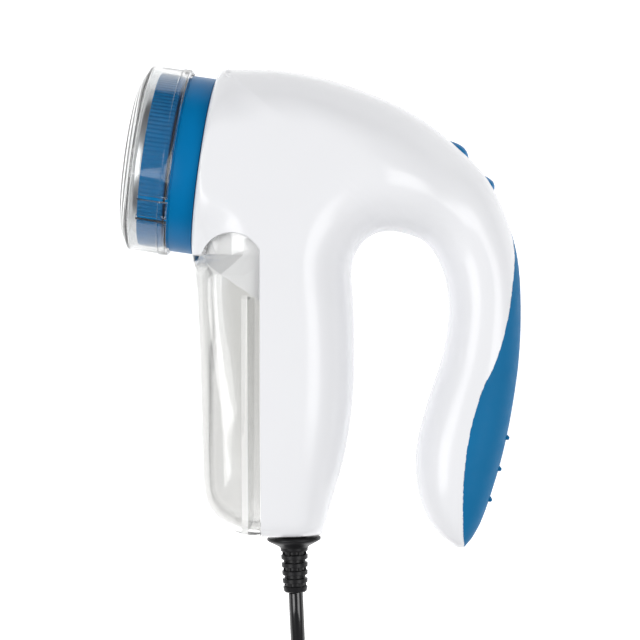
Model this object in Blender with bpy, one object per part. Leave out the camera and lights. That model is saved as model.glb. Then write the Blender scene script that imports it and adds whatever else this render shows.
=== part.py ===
"""A mains fabric shaver: a tilted round shaving head on a two-part housing whose back arches over a
finger gap into a hanging handle, with a clear lint bin below the head and a lead at the bottom.

The shaver lies on its side. +X runs from the head to the handle, +Y from the lead to the top of the
head, and +Z up, across the shaver. The design is drawn in millimetres about its mid-plane, and MM and
PLACE turn that into metres above the floor, with the origin below the middle of the shaver.
"""

import math

import bmesh
import bpy
from mathutils import Matrix, Vector

MM = 0.001
GAP = 0.3  # between two pieces that meet
FLAT = 33.5  # half the width across the flat cheeks
PLACE = Vector((-0.3, -0.29, FLAT))  # from the drawing's zero to the row's origin

# The head's axis lies in the mid-plane, and leans up by TILT. Its zero is the housing's front face.
TILT = math.radians(8.3)
HEAD = Vector((-40.7, 49.7, 0.0))
OUTWARD = Vector((-math.cos(TILT), math.sin(TILT), 0.0))
ACROSS = Vector((math.sin(TILT), math.cos(TILT), 0.0))
FACE_R = 35.4  # the housing round the head, behind its rounded front edge
FACE_ROUND = 4.0
MOUTH_R = 28.2  # the opening for the cutter chamber

# Stations of the housing: outer outline point, inner outline point, half width, the roundness towards the
# inner and the outer point, and two creases. Each crease lies at a share of the station; the skin falls away
# outside the first one, by its second number, and inside it, by its third, and only outside the other one.
BODY = [
    ((-20.8, -80.8), (0.3, -80.6), 7.0, (2.6, 2.6), (0.72, 0.0, 0.2), (0.3, 0.0)),
    ((-22.8, -80.3), (0.6, -79.8), 13.0, (2.8, 2.8), (0.72, 0.0, 0.25), (0.3, 0.0)),
    ((-26.6, -79.7), (0.9, -78.9), 17.4, (3.0, 3.0), (0.75, 0.0, 0.3), (0.3, 0.0)),
    ((-31.2, -78.1), (1.4, -77.2), 20.6, (3.2, 3.2), (0.8, 0.0, 0.35), (0.3, 0.1)),
    ((-37.8, -74.2), (2.4, -74.2), 23.0, (3.2, 3.4), (0.84, 0.0, 0.45), (0.3, 0.25)),
    ((-42.0, -67.0), (4.4, -66.6), 25.0, (3.2, 3.8), (0.8, 0.0, 0.5), (0.31, 0.4)),
    ((-43.1, -51.0), (8.7, -51.0), 28.0, (3.2, 4.4), (0.76, 0.0, 0.5), (0.31, 0.45)),
    ((-43.3, -28.0), (11.6, -29.5), 31.0, (3.2, 5.0), (0.76, 0.0, 0.5), (0.19, 0.45)),
    ((-43.8, -5.0), (11.9, -5.0), 33.0, (3.1, 5.6), (0.74, 0.0, 0.5), (0.095, 0.45)),
    ((-44.3, 10.0), (10.9, 11.4), 34.2, (3.0, 5.0), (0.68, 0.0, 0.4), (0.07, 0.4)),
]
GAP_TOP = [(11.2, 15.2), (12.6, 19.4), (15.8, 23.8), (20.4, 26.7), (25.0, 27.3)]
ARCH = [
    ((-36.2, 80.4), (25.0, 27.3), 34.5, (2.8, 2.1), (0.6, 0.0, 0.0), (0.1, 0.0)),
    ((-34.9, 82.3), (25.8, 27.3), 34.5, (2.8, 2.1), (0.6, 0.0, 0.0), (0.1, 0.0)),
    ((-32.3, 83.4), (26.6, 27.3), 34.4, (2.8, 2.1), (0.6, 0.02, 0.0), (0.1, 0.0)),
    ((-15.5, 83.7), (28.2, 27.0), 34.2, (2.7, 2.1), (0.62, 0.06, 0.0), (0.1, 0.0)),
    ((3.3, 80.2), (30.4, 26.5), 33.6, (2.6, 2.15), (0.62, 0.2, 0.04), (0.1, 0.0)),
    ((22.7, 73.2), (33.4, 25.4), 31.0, (2.5, 2.25), (0.6, 0.3, 0.1), (0.1, 0.0)),
    ((35.9, 66.2), (36.8, 23.8), 27.6, (2.4, 2.3), (0.585, 0.36, 0.14), (0.1, 0.0)),
    ((48.4, 56.4), (40.0, 20.3), 22.8, (2.4, 2.4), (0.56, 0.36, 0.18), (0.1, 0.0)),
    ((59.2, 45.2), (42.6, 15.6), 19.0, (2.4, 2.4), (0.52, 0.32, 0.2), (0.1, 0.0)),
    ((66.0, 30.9), (44.6, 9.6), 17.5, (2.3, 2.3), (0.47, 0.26, 0.2), (0.1, 0.0)),
    ((69.8, 17.0), (45.6, 2.0), 17.0, (2.3, 2.3), (0.43, 0.2, 0.16), (0.1, 0.0)),
    ((70.9, 0.0), (45.4, -6.5), 17.0, (2.3, 2.3), (0.45, 0.14, 0.12), (0.1, 0.0)),
    ((70.2, -18.5), (43.0, -19.0), 17.0, (2.3, 2.3), (0.52, 0.1, 0.1), (0.1, 0.0)),
    ((67.7, -36.6), (38.1, -34.0), 17.0, (2.3, 2.3), (0.58, 0.08, 0.08), (0.1, 0.0)),
    ((64.5, -52.0), (34.2, -50.0), 16.6, (2.3, 2.3), (0.6, 0.06, 0.06), (0.1, 0.0)),
    ((60.6, -65.4), (34.5, -63.5), 15.6, (2.3, 2.3), (0.6, 0.04, 0.04), (0.1, 0.0)),
    ((57.1, -75.4), (37.4, -73.4), 13.0, (2.2, 2.2), (0.6, 0.02, 0.02), (0.1, 0.0)),
    ((54.2, -81.0), (41.4, -79.6), 10.0, (2.1, 2.1), (0.6, 0.0, 0.0), (0.1, 0.0)),
    ((52.4, -83.4), (44.9, -82.9), 7.4, (2.1, 2.1), (0.6, 0.0, 0.0), (0.1, 0.0)),
    ((51.2, -84.9), (47.6, -84.8), 4.4, (2.0, 2.0), (0.6, 0.0, 0.0), (0.1, 0.0)),
]
CREASE_SOFT, BEVEL_SOFT = 0.035, 0.012  # how softly the creases turn, as a share of the station
BLEND = 3.0  # between the drum round the head and the rest of the skin
DOME = 3  # stations that round off the body's bottom; the cavity's own bottom is flatter
CAVITY_END = 14.0  # half width at the cavity's bottom, before the wall is taken off
HANDLE_FROM = 6  # the arch's station where the wall starts to thicken for the grip and the switch
WALL = 2.0
HANDLE_WALL = 4.4
SPREAD = (0.006, 0.04, 0.14, 0.32, 0.5, 0.68, 0.86, 0.96, 0.994)

# The clear lint bin, below the head.
BIN_BACK = -20.7
BIN_WALL = 1.6
BIN_FOOT_Y = -95.0
BIN_ARCH = ((-20.7, 19.0), (-30.8, 24.7), (-41.0, 17.6))
BIN_REAR_WALL = (-26.8, -24.7, -79.6, 3.4)  # x from, x to, y from, y to

# The side edge of the soft grip, from its upper tip to its lower one.
GRIP_EDGE = [
    (66.9, 28.7), (67.8, 19.1), (67.2, 11.4), (64.9, -4.1), (60.5, -19.2),
    (56.4, -27.4), (52.8, -38.4), (50.5, -49.8), (49.3, -63.0), (49.8, -77.9), (50.9, -85.4),
]
GRIP_THICK = 1.8
GRIP_ENDS_AT = 13.5  # the handle's thickness where the grip stops, just above the tip
GRIP_MIDDLE = 5  # which point of the grip's section lies on the mid-plane
NUBS = ((65.9, -46.1), (63.1, -57.1), (59.8, -67.9))
NUB_R = 0.9
NUB_HIGH = 0.9
NUB_ASIDE = 5.5

# The slide switch on the back of the arch.
SLIDER_FROM = Vector((45.6, 59.4, 0.0))
SLIDER_TO = Vector((61.6, 40.9, 0.0))
SLIDER_WIDE = 6.0
SLIDER_DEEP = 4.6
SLIDER_TRAVEL = 4.0

# The lead: its strain relief, and the route of the lead down to the coil and on to the plug.
CORD_D = 5.2
RELIEF_TOP = Vector((-9.5, -80.9, 0.0))
RELIEF_END = Vector((-8.9, -101.3, 0.0))
COIL_AT = Vector((24.0, -196.0))
COIL_TURNS_R = (32.6, 27.4)
COIL_LAYERS = 4
FLOOR = -FLAT
LEAD_ROUTE = [
    (-8.8, -101.7, 0.0), (-8.5, -109.0, -0.3), (-8.1, -118.4, -2.0), (-7.8, -128.0, -6.6),
    (-7.7, -138.0, -13.6), (-7.8, -148.0, -21.0), (-8.0, -157.5, -26.6), (-8.3, -167.0, -29.8),
    (-8.5, -176.2, -30.9),
]
TAIL_ROUTE = [
    (52.9, -222.6, -26.6), (57.6, -217.4, -29.2), (61.4, -211.0, -30.6), (63.9, -204.0, -30.9),
    (65.3, -197.0, -30.8), (66.0, -190.6, -29.6),
]
PLUG_AT = Vector((66.4, -189.9, -29.0))
PLUG_TURN = math.radians(-3.0)


# ---------------------------------------------------------------- helpers


def clear_scene():
    for item in list(bpy.data.objects):
        bpy.data.objects.remove(item, do_unlink=True)


def material(name, colour, roughness, metallic=0.0, alpha=1.0):
    made = bpy.data.materials.new(name)
    made.use_nodes = True
    shader = made.node_tree.nodes["Principled BSDF"]
    shader.inputs["Base Color"].default_value = (*colour, 1.0)
    shader.inputs["Roughness"].default_value = roughness
    shader.inputs["Metallic"].default_value = metallic
    shader.inputs["Alpha"].default_value = alpha
    made.diffuse_color = (*colour, alpha)
    return made


def world(point):
    """A drawing point in metres, in the row's frame."""
    return (Vector(point) + PLACE) * MM


def link(name, mesh, finish):
    item = bpy.data.objects.new(name, mesh)
    bpy.context.scene.collection.objects.link(item)
    if finish:
        mesh.materials.append(finish)
    return item


def mesh_of(name, points, faces):
    """A mesh in metres from points in millimetres, with its faces turned outwards."""
    shape = bmesh.new()
    corners = [shape.verts.new(Vector(p) * MM) for p in points]
    for face in faces:
        shape.faces.new([corners[i] for i in face])
    bmesh.ops.recalc_face_normals(shape, faces=shape.faces)
    bmesh.ops.triangulate(shape, faces=shape.faces)
    mesh = bpy.data.meshes.new(name)
    shape.to_mesh(mesh)
    shape.free()
    return mesh


def smooth(item, degrees=35.0):
    item.data.shade_smooth()
    item.data.set_sharp_from_angle(angle=math.radians(degrees))
    return item


def lofted(rings):
    """Points and faces of a closed skin over rings of equal size, with both ends capped."""
    size = len(rings[0])
    points = [p for ring in rings for p in ring]
    faces = []
    for k in range(len(rings) - 1):
        for j in range(size):
            a, b = k * size + j, k * size + (j + 1) % size
            faces.append((a, b, b + size, a + size))
    last = (len(rings) - 1) * size
    faces.append(tuple(reversed(range(size))))
    faces.append(tuple(range(last, last + size)))
    return points, faces


def lathed(profile, segments):
    """Points and faces of a profile of (radius, height) turned about Z. Its ends may lie on Z."""
    points, rows = [], []
    for radius, height in profile:
        if radius == 0:
            rows.append([len(points)] * segments)
            points.append((0.0, 0.0, height))
        else:
            rows.append(list(range(len(points), len(points) + segments)))
            for k in range(segments):
                turn = math.tau * k / segments
                points.append((radius * math.cos(turn), radius * math.sin(turn), height))
    solid = profile[0][0] == 0
    pairs = list(zip(rows, rows[1:])) if solid else list(zip(rows, rows[1:] + rows[:1]))
    faces = []
    for low, high in pairs:
        for k in range(segments):
            n = (k + 1) % segments
            face = [low[k], low[n], high[n], high[k]]
            face = [f for i, f in enumerate(face) if f != face[i - 1]]
            if len(face) > 2:
                faces.append(face)
    return points, faces


def prism(outline, low, high):
    """Points and faces of a flat outline pushed from z = low to z = high."""
    rings = [[(x, y, z) for x, y in outline] for z in (low, high)]
    return lofted(rings)


def boxed(low, high):
    (x0, y0, z0), (x1, y1, z1) = low, high
    return prism([(x0, y0), (x1, y0), (x1, y1), (x0, y1)], z0, z1)


def placed(name, shape, finish, at=(0.0, 0.0, 0.0)):
    """An object whose points are in the drawing's millimetres, with its origin at a drawing point."""
    points, faces = shape
    moved = [Vector(p) - Vector(at) for p in points]
    item = link(name, mesh_of(name, moved, faces), finish)
    item.location = world(at)
    return item


def on_axis(name, shape, finish, parent, axial=0.0):
    """An object drawn about its own Z, put on the head's axis."""
    item = link(name, mesh_of(name, *shape), finish)
    item.parent = parent
    item.location = (0.0, 0.0, axial * MM)
    return item


def guide(item):
    item.hide_render = True
    item.display_type = "WIRE"
    return item


def boolean(item, tool, operation):
    step = item.modifiers.new(operation.lower(), "BOOLEAN")
    step.operation = operation
    step.solver = "EXACT"
    step.object = tool
    return item


def cutter(shape, at=(0.0, 0.0, 0.0)):
    return guide(placed("cutter", shape, None, at))


def spline(points, t):
    """A point on the smooth curve through the points, at t from 0 to their number less one."""
    k = min(int(t), len(points) - 2)
    u = t - k
    rows = [Vector(points[min(max(i, 0), len(points) - 1)]) for i in (k - 1, k, k + 1, k + 2)]
    if k == 0:
        rows[0] = rows[1] * 2 - rows[2]
    if k == len(points) - 2:
        rows[3] = rows[2] * 2 - rows[1]
    before, start, end, after = rows
    slope_a, slope_b = (end - before) / 2, (after - start) / 2
    return (
        start * (2 * u**3 - 3 * u**2 + 1)
        + slope_a * (u**3 - 2 * u**2 + u)
        + end * (3 * u**2 - 2 * u**3)
        + slope_b * (u**3 - u**2)
    )


def tube(name, route, radius, finish, resolution=2):
    """A round solid along a smooth curve through the route's points."""
    spans = [(Vector(b) - Vector(a)).length for a, b in zip(route, route[1:])]
    count = max(2, round(sum(spans) / (5.0 * radius)))
    line = [spline(route, (len(route) - 1) * k / count) for k in range(count + 1)]
    curve = bpy.data.curves.new(name, "CURVE")
    curve.dimensions = "3D"
    curve.bevel_depth = radius * MM
    curve.bevel_resolution = resolution
    curve.use_fill_caps = True
    path = curve.splines.new("POLY")
    path.points.add(len(line) - 1)
    for point, at in zip(path.points, line):
        point.co = (*world(at), 1.0)
    return link(name, curve, finish)


def arc_through(first, middle, last, steps):
    """Points on the circle through three points, from the first to the last."""
    (ax, ay), (bx, by), (cx, cy) = first, middle, last
    d = 2 * (ax * (by - cy) + bx * (cy - ay) + cx * (ay - by))
    a2, b2, c2 = ax * ax + ay * ay, bx * bx + by * by, cx * cx + cy * cy
    ox = (a2 * (by - cy) + b2 * (cy - ay) + c2 * (ay - by)) / d
    oy = (a2 * (cx - bx) + b2 * (ax - cx) + c2 * (bx - ax)) / d
    radius = math.hypot(ax - ox, ay - oy)
    start, via, end = (math.atan2(y - oy, x - ox) for x, y in (first, middle, last))
    sweep = (end - start) % math.tau
    if (via - start) % math.tau > sweep:
        sweep -= math.tau
    turns = [start + sweep * k / steps for k in range(steps + 1)]
    return [(ox + radius * math.cos(t), oy + radius * math.sin(t)) for t in turns]


# ---------------------------------------------------------------- the housing's shape


def run_of(stations, between):
    """The stations of one smooth run, with more between each pair."""
    rows = []
    for k in range((len(stations) - 1) * between + 1):
        t = k / between
        outer = spline([(*s[0], 0.0) for s in stations], t)
        inner = spline([(*s[1], 0.0) for s in stations], t)
        rows.append((outer, inner, spline([form_of(s) for s in stations], t)))
    return rows


def face_run():
    """The stations whose outer points run up the housing's flat front face."""
    rows = []
    low, high, steps = -31.8, 29.0, 6
    for k in range(steps + 1):
        share = k / steps
        outer = HEAD + ACROSS * (low + (high - low) * share)
        inner = spline([(*p, 0.0) for p in GAP_TOP], (len(GAP_TOP) - 1.3) * share)
        form = form_of(BODY[-1]).lerp(form_of(ARCH[0]), share)
        form[2] = ARCH[0][3][1]
        rows.append((outer, inner, form))
    return rows


def all_stations():
    """Every station, from the bottom of the body to the tip of the handle, and the arch's first one."""
    below = run_of(BODY, 1) + face_run()
    return below + run_of(ARCH, 1), len(below)


def moved_in(loop, depths):
    """A closed outline with each corner moved inwards by its own depth."""
    made = []
    for k, point in enumerate(loop):
        before = (point - loop[k - 1]).normalized()
        after = (loop[(k + 1) % len(loop)] - point).normalized()
        one, two = (Vector((d.y, -d.x, 0.0)) for d in (before, after))
        made.append(point + (one + two) * (depths[k] / max(0.35, 1 + one.dot(two))))
    return made


def form_of(station):
    """A station's half width, two roundnesses and two creases, as one row of numbers."""
    width, rounds, crease, bevel = station[2:]
    return Vector((width, *rounds, *crease, *bevel))


def soft_most(one, other, blend):
    """The larger of two lengths, with the corner between them rounded."""
    return (one + other + math.sqrt((one - other) ** 2 + blend**2)) / 2


def half_width(point, share, form, inset):
    """How far the housing's skin stands from the mid-plane, at a share of its station."""
    width, inner_round, outer_round, crease, fall_out, fall_in, bevel, bevel_fall = form
    roundness = outer_round if share < 0.5 else inner_round
    plain = (width - inset) * max(0.0, 1 - abs(1 - 2 * share) ** roundness) ** (1 / roundness)
    past = share - crease
    bend = math.hypot(past, CREASE_SOFT)
    plain *= 1 - fall_in * (bend + past) / 2 - fall_out * (bend - past) / 2
    past = share - bevel
    plain *= 1 - bevel_fall * (math.hypot(past, BEVEL_SOFT) - past) / 2
    from_axis = point - HEAD
    axial, across = from_axis.dot(OUTWARD) + inset, from_axis.dot(ACROSS)
    bend = max(FACE_ROUND - inset, 1.0)
    radius = FACE_R - inset
    if axial > -bend:
        radius -= bend - math.sqrt(max(0.0, bend**2 - (bend + min(axial, 0.0)) ** 2))
    fade = min(1.0, max(0.0, (44.0 + axial) / 26.0))
    fade = fade * fade * (3 - 2 * fade)
    drum = math.sqrt(max(0.0, radius**2 - across**2)) * fade
    return min(soft_most(plain, drum, min(BLEND, plain, drum)), FLAT - inset)


def skin_stations(inset, handle_inset=None):
    """(outer, inner, form, inset) of each station, moved in from the outer skin."""
    rows, arch_from = all_stations()
    handle_inset = inset if handle_inset is None else handle_inset
    depth = []
    for k in range(len(rows)):
        share = min(1.0, max(0.0, (k - arch_from - HANDLE_FROM) / 5.0))
        depth.append(inset + (handle_inset - inset) * share)
    loop = [r[0] for r in rows] + [r[1] for r in reversed(rows)]
    inner_depth = [min(d, inset + 0.6) for d in reversed(depth)]
    moved = moved_in(loop, depth + inner_depth)
    if inset > 0:
        last = len(loop) - 1
        for k in range(DOME):
            t = k / DOME
            moved[k] = moved[0].lerp(moved[DOME], t)
            moved[last - k] = moved[last].lerp(moved[last - DOME], t)
            form = rows[k][2].copy()
            form[0] = CAVITY_END + (rows[DOME][2][0] - CAVITY_END) * t
            rows[k] = (*rows[k][:2], form)
    made = []
    for k, row in enumerate(rows):
        outer, inner = moved[k], moved[len(loop) - 1 - k]
        if (row[0] - row[1]).length > 2.4 * (depth[k] + inner_depth[len(rows) - 1 - k]) + 2.0 or inset <= 0:
            made.append((outer, inner, row[2], depth[k]))
    return made


def section(station, shares, side):
    outer, inner, form, inset = station
    made = []
    for share in shares:
        point = outer.lerp(inner, share)
        made.append((point.x, point.y, side * half_width(point, share, form, inset)))
    return made


def skin(inset, handle_inset=None):
    """The housing's whole outer form, moved in by inset, as one closed solid."""
    rings = []
    for station in skin_stations(inset, handle_inset):
        outer, inner = station[0], station[1]
        top = section(station, SPREAD, 1)
        bottom = section(station, reversed(SPREAD), -1)
        rings.append([(outer.x, outer.y, 0.0), *top, (inner.x, inner.y, 0.0), *bottom])
    return lofted(rings)


def bin_outline(grow):
    (back, back_y), (mid, mid_y), (front, front_y) = BIN_ARCH
    arch = arc_through((back + grow, back_y + grow), (mid, mid_y + grow), (front, front_y + grow), 8)
    return [(-60.0, BIN_FOOT_Y), (back + grow, BIN_FOOT_Y), *arch, (-60.0, front_y + grow)]


# Housing screws: x, y, the height of the head's seat, and the length above it.
SCREWS = (
    (-5.0, 69.8, -23.0, 33.0),
    (25.5, 47.5, -21.0, 31.0),
    (57.4, 6.0, -7.0, 15.0),
    (44.0, -55.0, -7.0, 15.0),
    (4.5, 9.0, -22.0, 32.0),
    (-1.0, -66.0, -14.0, 24.0),
)
SPRING_STEPS = 9  # points in a turn
BOSS_R = 3.6
SCREW_R = 1.25
SCREW_HEAD_R = 2.5
SCREW_HEAD = 1.8


def circle(x, y, radius, count):
    turns = [math.tau * k / count for k in range(count)]
    return [(x + radius * math.cos(t), y + radius * math.sin(t)) for t in turns]


def along_axis(radius, low, high, segments=42):
    """A plain disc about the head's axis, between two axial places, in the drawing's frame."""
    points, faces = lathed([(0, low), (radius, low), (radius, high), (0, high)], segments)
    turned = [HEAD + Vector((0, 0, 1)) * p[0] + ACROSS * p[1] + OUTWARD * p[2] for p in points]
    return turned, faces


def grip_shares():
    """Each arch station's share at which the grip's side edge crosses it."""
    edge = [spline([(*p, 0.0) for p in GRIP_EDGE], t / 4) for t in range(4 * (len(GRIP_EDGE) - 1) + 1)]
    found = {}
    for k, (outer, inner, _, _) in enumerate(skin_stations(0.0)):
        across = inner - outer
        for a, b in zip(edge, edge[1:]):
            step = b - a
            bottom = across.x * step.y - across.y * step.x
            if abs(bottom) < 1e-9:
                continue
            away = a - outer
            share = (away.x * step.y - away.y * step.x) / bottom
            place = (away.x * across.y - away.y * across.x) / bottom
            if 0 <= place <= 1 and 0.02 < share < 0.9:
                found[k] = share
    return found


def grip_shape(grow, depth, extra):
    """The grip's solid: the outer skin back to its side edge, with the given thickness."""
    shares = grip_shares()
    plain, outside, inside = (skin_stations(d) for d in (0.0, -grow, depth))
    rings = []
    for k in sorted(shares):
        if (plain[k][0] - plain[k][1]).length < GRIP_ENDS_AT:
            continue
        edge = shares[k] * (plain[k][0] - plain[k][1]).length + extra
        ring = []
        for station, inset, side in ((outside[k], -grow, 1), (inside[k], depth, -1)):
            long = (station[0] - station[1]).length
            share = max(0.03, (edge - inset) / long)
            steps = [share * (1 - f) ** 2 for f in (0.0, 0.2, 0.4, 0.6, 0.8)]
            ring += section(station, steps, side) + [tuple(station[0])]
            ring += section(station, reversed(steps), -side)
        rings.append([Vector(p) for p in ring])
    if extra:
        for end, beside in ((0, 1), (-1, -2)):
            ahead = rings[end][GRIP_MIDDLE] - rings[beside][GRIP_MIDDLE]
            rings[end] = [p + ahead.normalized() * extra for p in rings[end]]
    return lofted(rings)


def housing_half(name, side, finish):
    """One half of the housing: a hollow skin with screw bosses, split at the mid-plane."""
    half = placed(name, skin(0.0), finish)
    near, far = (GAP / 2, 60.0) if side > 0 else (-60.0, -GAP / 2)
    boolean(half, cutter(skin(WALL, HANDLE_WALL)), "DIFFERENCE")
    boolean(half, cutter(along_axis(MOUTH_R, -8.0, 5.0)), "DIFFERENCE")
    boolean(half, cutter(prism(bin_outline(GAP), -50.0, 50.0)), "DIFFERENCE")
    boolean(half, cutter(grip_shape(2.0, GRIP_THICK + 2 * GAP, 2 * GAP)), "DIFFERENCE")
    boolean(half, cutter(slider_slot()), "DIFFERENCE")
    boolean(half, cutter(relief_solid(GAP)), "DIFFERENCE")
    boolean(half, cutter(boxed((-120, -120, near), (120, 120, far))), "INTERSECT")
    for x, y, seat, length in SCREWS:
        post = guide(placed("post", prism(circle(x, y, BOSS_R, 12), near, far), None))
        boolean(post, cutter(skin(WALL / 2)), "INTERSECT")
        boolean(half, post, "UNION")
        bore = prism(circle(x, y, SCREW_R + GAP / 2, 10), seat - 1, seat + length + 2)
        boolean(half, cutter(bore), "DIFFERENCE")
        if side < 0:
            boolean(half, cutter(prism(circle(x, y, SCREW_HEAD_R + GAP, 12), -60.0, seat)), "DIFFERENCE")
    return half


def housing_screw(name, x, y, seat, length, finish):
    profile = [(0, seat - SCREW_HEAD), (SCREW_HEAD_R, seat - SCREW_HEAD), (SCREW_HEAD_R, seat - GAP),
               (SCREW_R, seat - GAP), (SCREW_R, seat + length - 1.2), (0, seat + length)]
    points, faces = lathed(profile, 10)
    return placed(name, ([(p[0] + x, p[1] + y, p[2]) for p in points], faces), finish, (x, y, seat))


# ---------------------------------------------------------------- bin, duct, grip, switch


def lint_bin(finish):
    """The clear bin: the housing's own form below the head, hollow, open at the top."""
    tub = placed("lint_bin", skin(0.0), finish)
    boolean(tub, cutter(prism(bin_outline(0.0), -50.0, 50.0)), "INTERSECT")
    boolean(tub, cutter(skin(BIN_WALL)), "DIFFERENCE")
    x0, x1, y0, y1 = BIN_REAR_WALL
    rear = guide(placed("rear", boxed((x0, y0, -40.0), (x1, y1, 40.0)), None))
    boolean(rear, cutter(skin(BIN_WALL / 2)), "INTERSECT")
    return boolean(tub, rear, "UNION")


def lint_duct(finish):
    """The white bulkhead behind the bin, with the slanting wall that the lint slides down."""
    side = -18.1
    outline = [(-43.0, 17.0), (-20.2, 1.6), (-20.2, -77.4), (side, -77.4), (side, 27.0), (-43.0, 27.0)]
    duct = placed("lint_duct", prism(outline, -50.0, 50.0), finish)
    boolean(duct, cutter(skin(WALL + 1.1)), "INTERSECT")
    hollow = [(-46.0, 21.8), (-20.2, 4.3), (-20.2, 30.0), (-46.0, 30.0)]
    inside = guide(placed("inside", prism(hollow, -50.0, 50.0), None))
    boolean(inside, cutter(skin(WALL + 2.9)), "INTERSECT")
    boolean(duct, inside, "DIFFERENCE")
    boolean(duct, cutter(along_axis(MOUTH_R, -20.0, 6.0)), "DIFFERENCE")
    window = [(-36.5, 19.0), (-27.5, 13.0), (-30.5, 4.0), (-39.5, 10.0)]
    return boolean(duct, cutter(prism(window, -13.0, 13.0)), "DIFFERENCE")


def soft_grip(finish):
    """The blue soft skin on the back of the handle, with three rows of nubs."""
    grip = placed("soft_grip", grip_shape(0.0, GRIP_THICK, 0.0), finish)
    for x, y in NUBS:
        lean = math.atan2(y + 10.0, 340.0)
        out = Vector((math.cos(lean), math.sin(lean), 0.0))
        for aside in (-NUB_ASIDE, 0.0, NUB_ASIDE):
            foot = Vector((x - abs(aside) * 0.05, y, aside)) - out * 1.3
            side = Vector((-out.y, out.x, 0.0))
            rings = []
            for radius, high in ((NUB_R, 0.0), (NUB_R, 1.3 + NUB_HIGH * 0.6), (NUB_R * 0.5, 1.3 + NUB_HIGH)):
                rings.append([
                    foot + out * high + (side * math.cos(math.tau * k / 8)
                                         + Vector((0, 0, 1)) * math.sin(math.tau * k / 8)) * radius
                    for k in range(8)
                ])
            boolean(grip, cutter(lofted(rings)), "UNION")
    return grip


def slider_frame():
    """The switch's direction down the back, and the direction out of it."""
    down = (SLIDER_TO - SLIDER_FROM).normalized()
    return down, Vector((-down.y, down.x, 0.0))


def slider_slot():
    """The slot in the back of the arch that the slider runs in."""
    down, out = slider_frame()
    low, high, deep = -0.4, (SLIDER_TO - SLIDER_FROM).length + SLIDER_TRAVEL + 0.4, -SLIDER_DEEP - 5.0
    corners = [(low, 9.0), (low, deep), (high, deep), (high, 9.0)]
    outline = [(SLIDER_FROM + down * a + out * b)[:2] for a, b in corners]
    return prism(outline, -SLIDER_WIDE - 0.4, SLIDER_WIDE + 0.4)


def switch_slider(finish):
    """The blue saddle on the back of the arch: two humps with a hollow for the thumb between."""
    down, out = slider_frame()
    long = (SLIDER_TO - SLIDER_FROM).length
    # along the back, and out of the straight line between the slider's ends
    crown = [(0.0, -0.3), (1.6, 0.6), (3.6, 1.6), (5.6, 2.1), (7.2, 2.0), (8.8, 1.4), (10.6, 0.5),
             (12.4, -0.2), (14.2, -0.2), (16.2, 0.5), (18.4, 1.4), (20.4, 1.95), (21.8, 2.0), (23.2, 1.3),
             (long, 0.0)]
    outline = [*crown, (long, -SLIDER_DEEP), (0.0, -SLIDER_DEEP)]
    outline = [(SLIDER_FROM + down * a + out * b)[:2] for a, b in outline]
    slider = placed("switch_slider", prism(outline, -SLIDER_WIDE, SLIDER_WIDE), finish, SLIDER_FROM)
    return smooth(slider)


def switch_body(finish):
    """The switch under the slider, in the arch."""
    down, out = slider_frame()
    corners = [(3.0, -SLIDER_DEEP - GAP), (3.0, -12.5), (24.0, -12.5), (24.0, -SLIDER_DEEP - GAP)]
    outline = [(SLIDER_FROM + down * a + out * b)[:2] for a, b in corners]
    return placed("switch_body", prism(outline, -5.5, 5.5), finish)


# ---------------------------------------------------------------- the head


def ribbed_ring(radius, depth, count, low, high, bore):
    """A ring with ribs along its axis all round its outside."""
    rings = []
    for height in (low, high):
        ring = []
        for k in range(count):
            turn = math.tau * k / count
            r = radius if k % 2 else radius - depth
            ring.append((r * math.cos(turn), r * math.sin(turn), height))
        rings.append(ring)
    inner = [[(bore * math.cos(math.tau * k / count), bore * math.sin(math.tau * k / count), z)
              for k in range(count)] for z in (high, low)]
    loops = [*rings, *inner]
    points = [p for ring in loops for p in ring]
    faces = []
    for m in range(4):
        for k in range(count):
            a, b, n = m * count + k, ((m + 1) % 4) * count + k, (k + 1) % count
            faces.append((a, m * count + n, ((m + 1) % 4) * count + n, b))
    return points, faces


def head_parts(axis, looks):
    collar = [(31.3, 0.3), (31.3, 8.5), (30.4, 8.7), (30.4, 10.2), (27.8, 10.2), (27.8, 0.3)]
    smooth(on_axis("head_collar", lathed(collar, 48), looks["blue"], axis))
    on_axis("foil_ring", ribbed_ring(30.8, 0.5, 64, 11.0, 19.5, 27.1), looks["blue"], axis)
    foil = [(0, 22.5), (26.0, 22.5), (26.7, 21.9), (26.7, 12.0), (26.1, 12.0), (26.1, 21.7), (25.8, 22.0),
            (0, 22.0)]
    smooth(on_axis("foil_guard", lathed(foil, 40), looks["foil"], axis))
    cap = [(0, 25.9), (27.4, 25.9), (32.8, 23.0), (32.8, 12.2), (33.2, 11.8), (33.2, 9.6), (32.6, 9.0),
           (31.6, 9.0), (31.6, 22.2), (26.8, 24.5), (0, 24.5)]
    smooth(on_axis("protective_cap", lathed(cap, 48), looks["clear"], axis))


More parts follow.
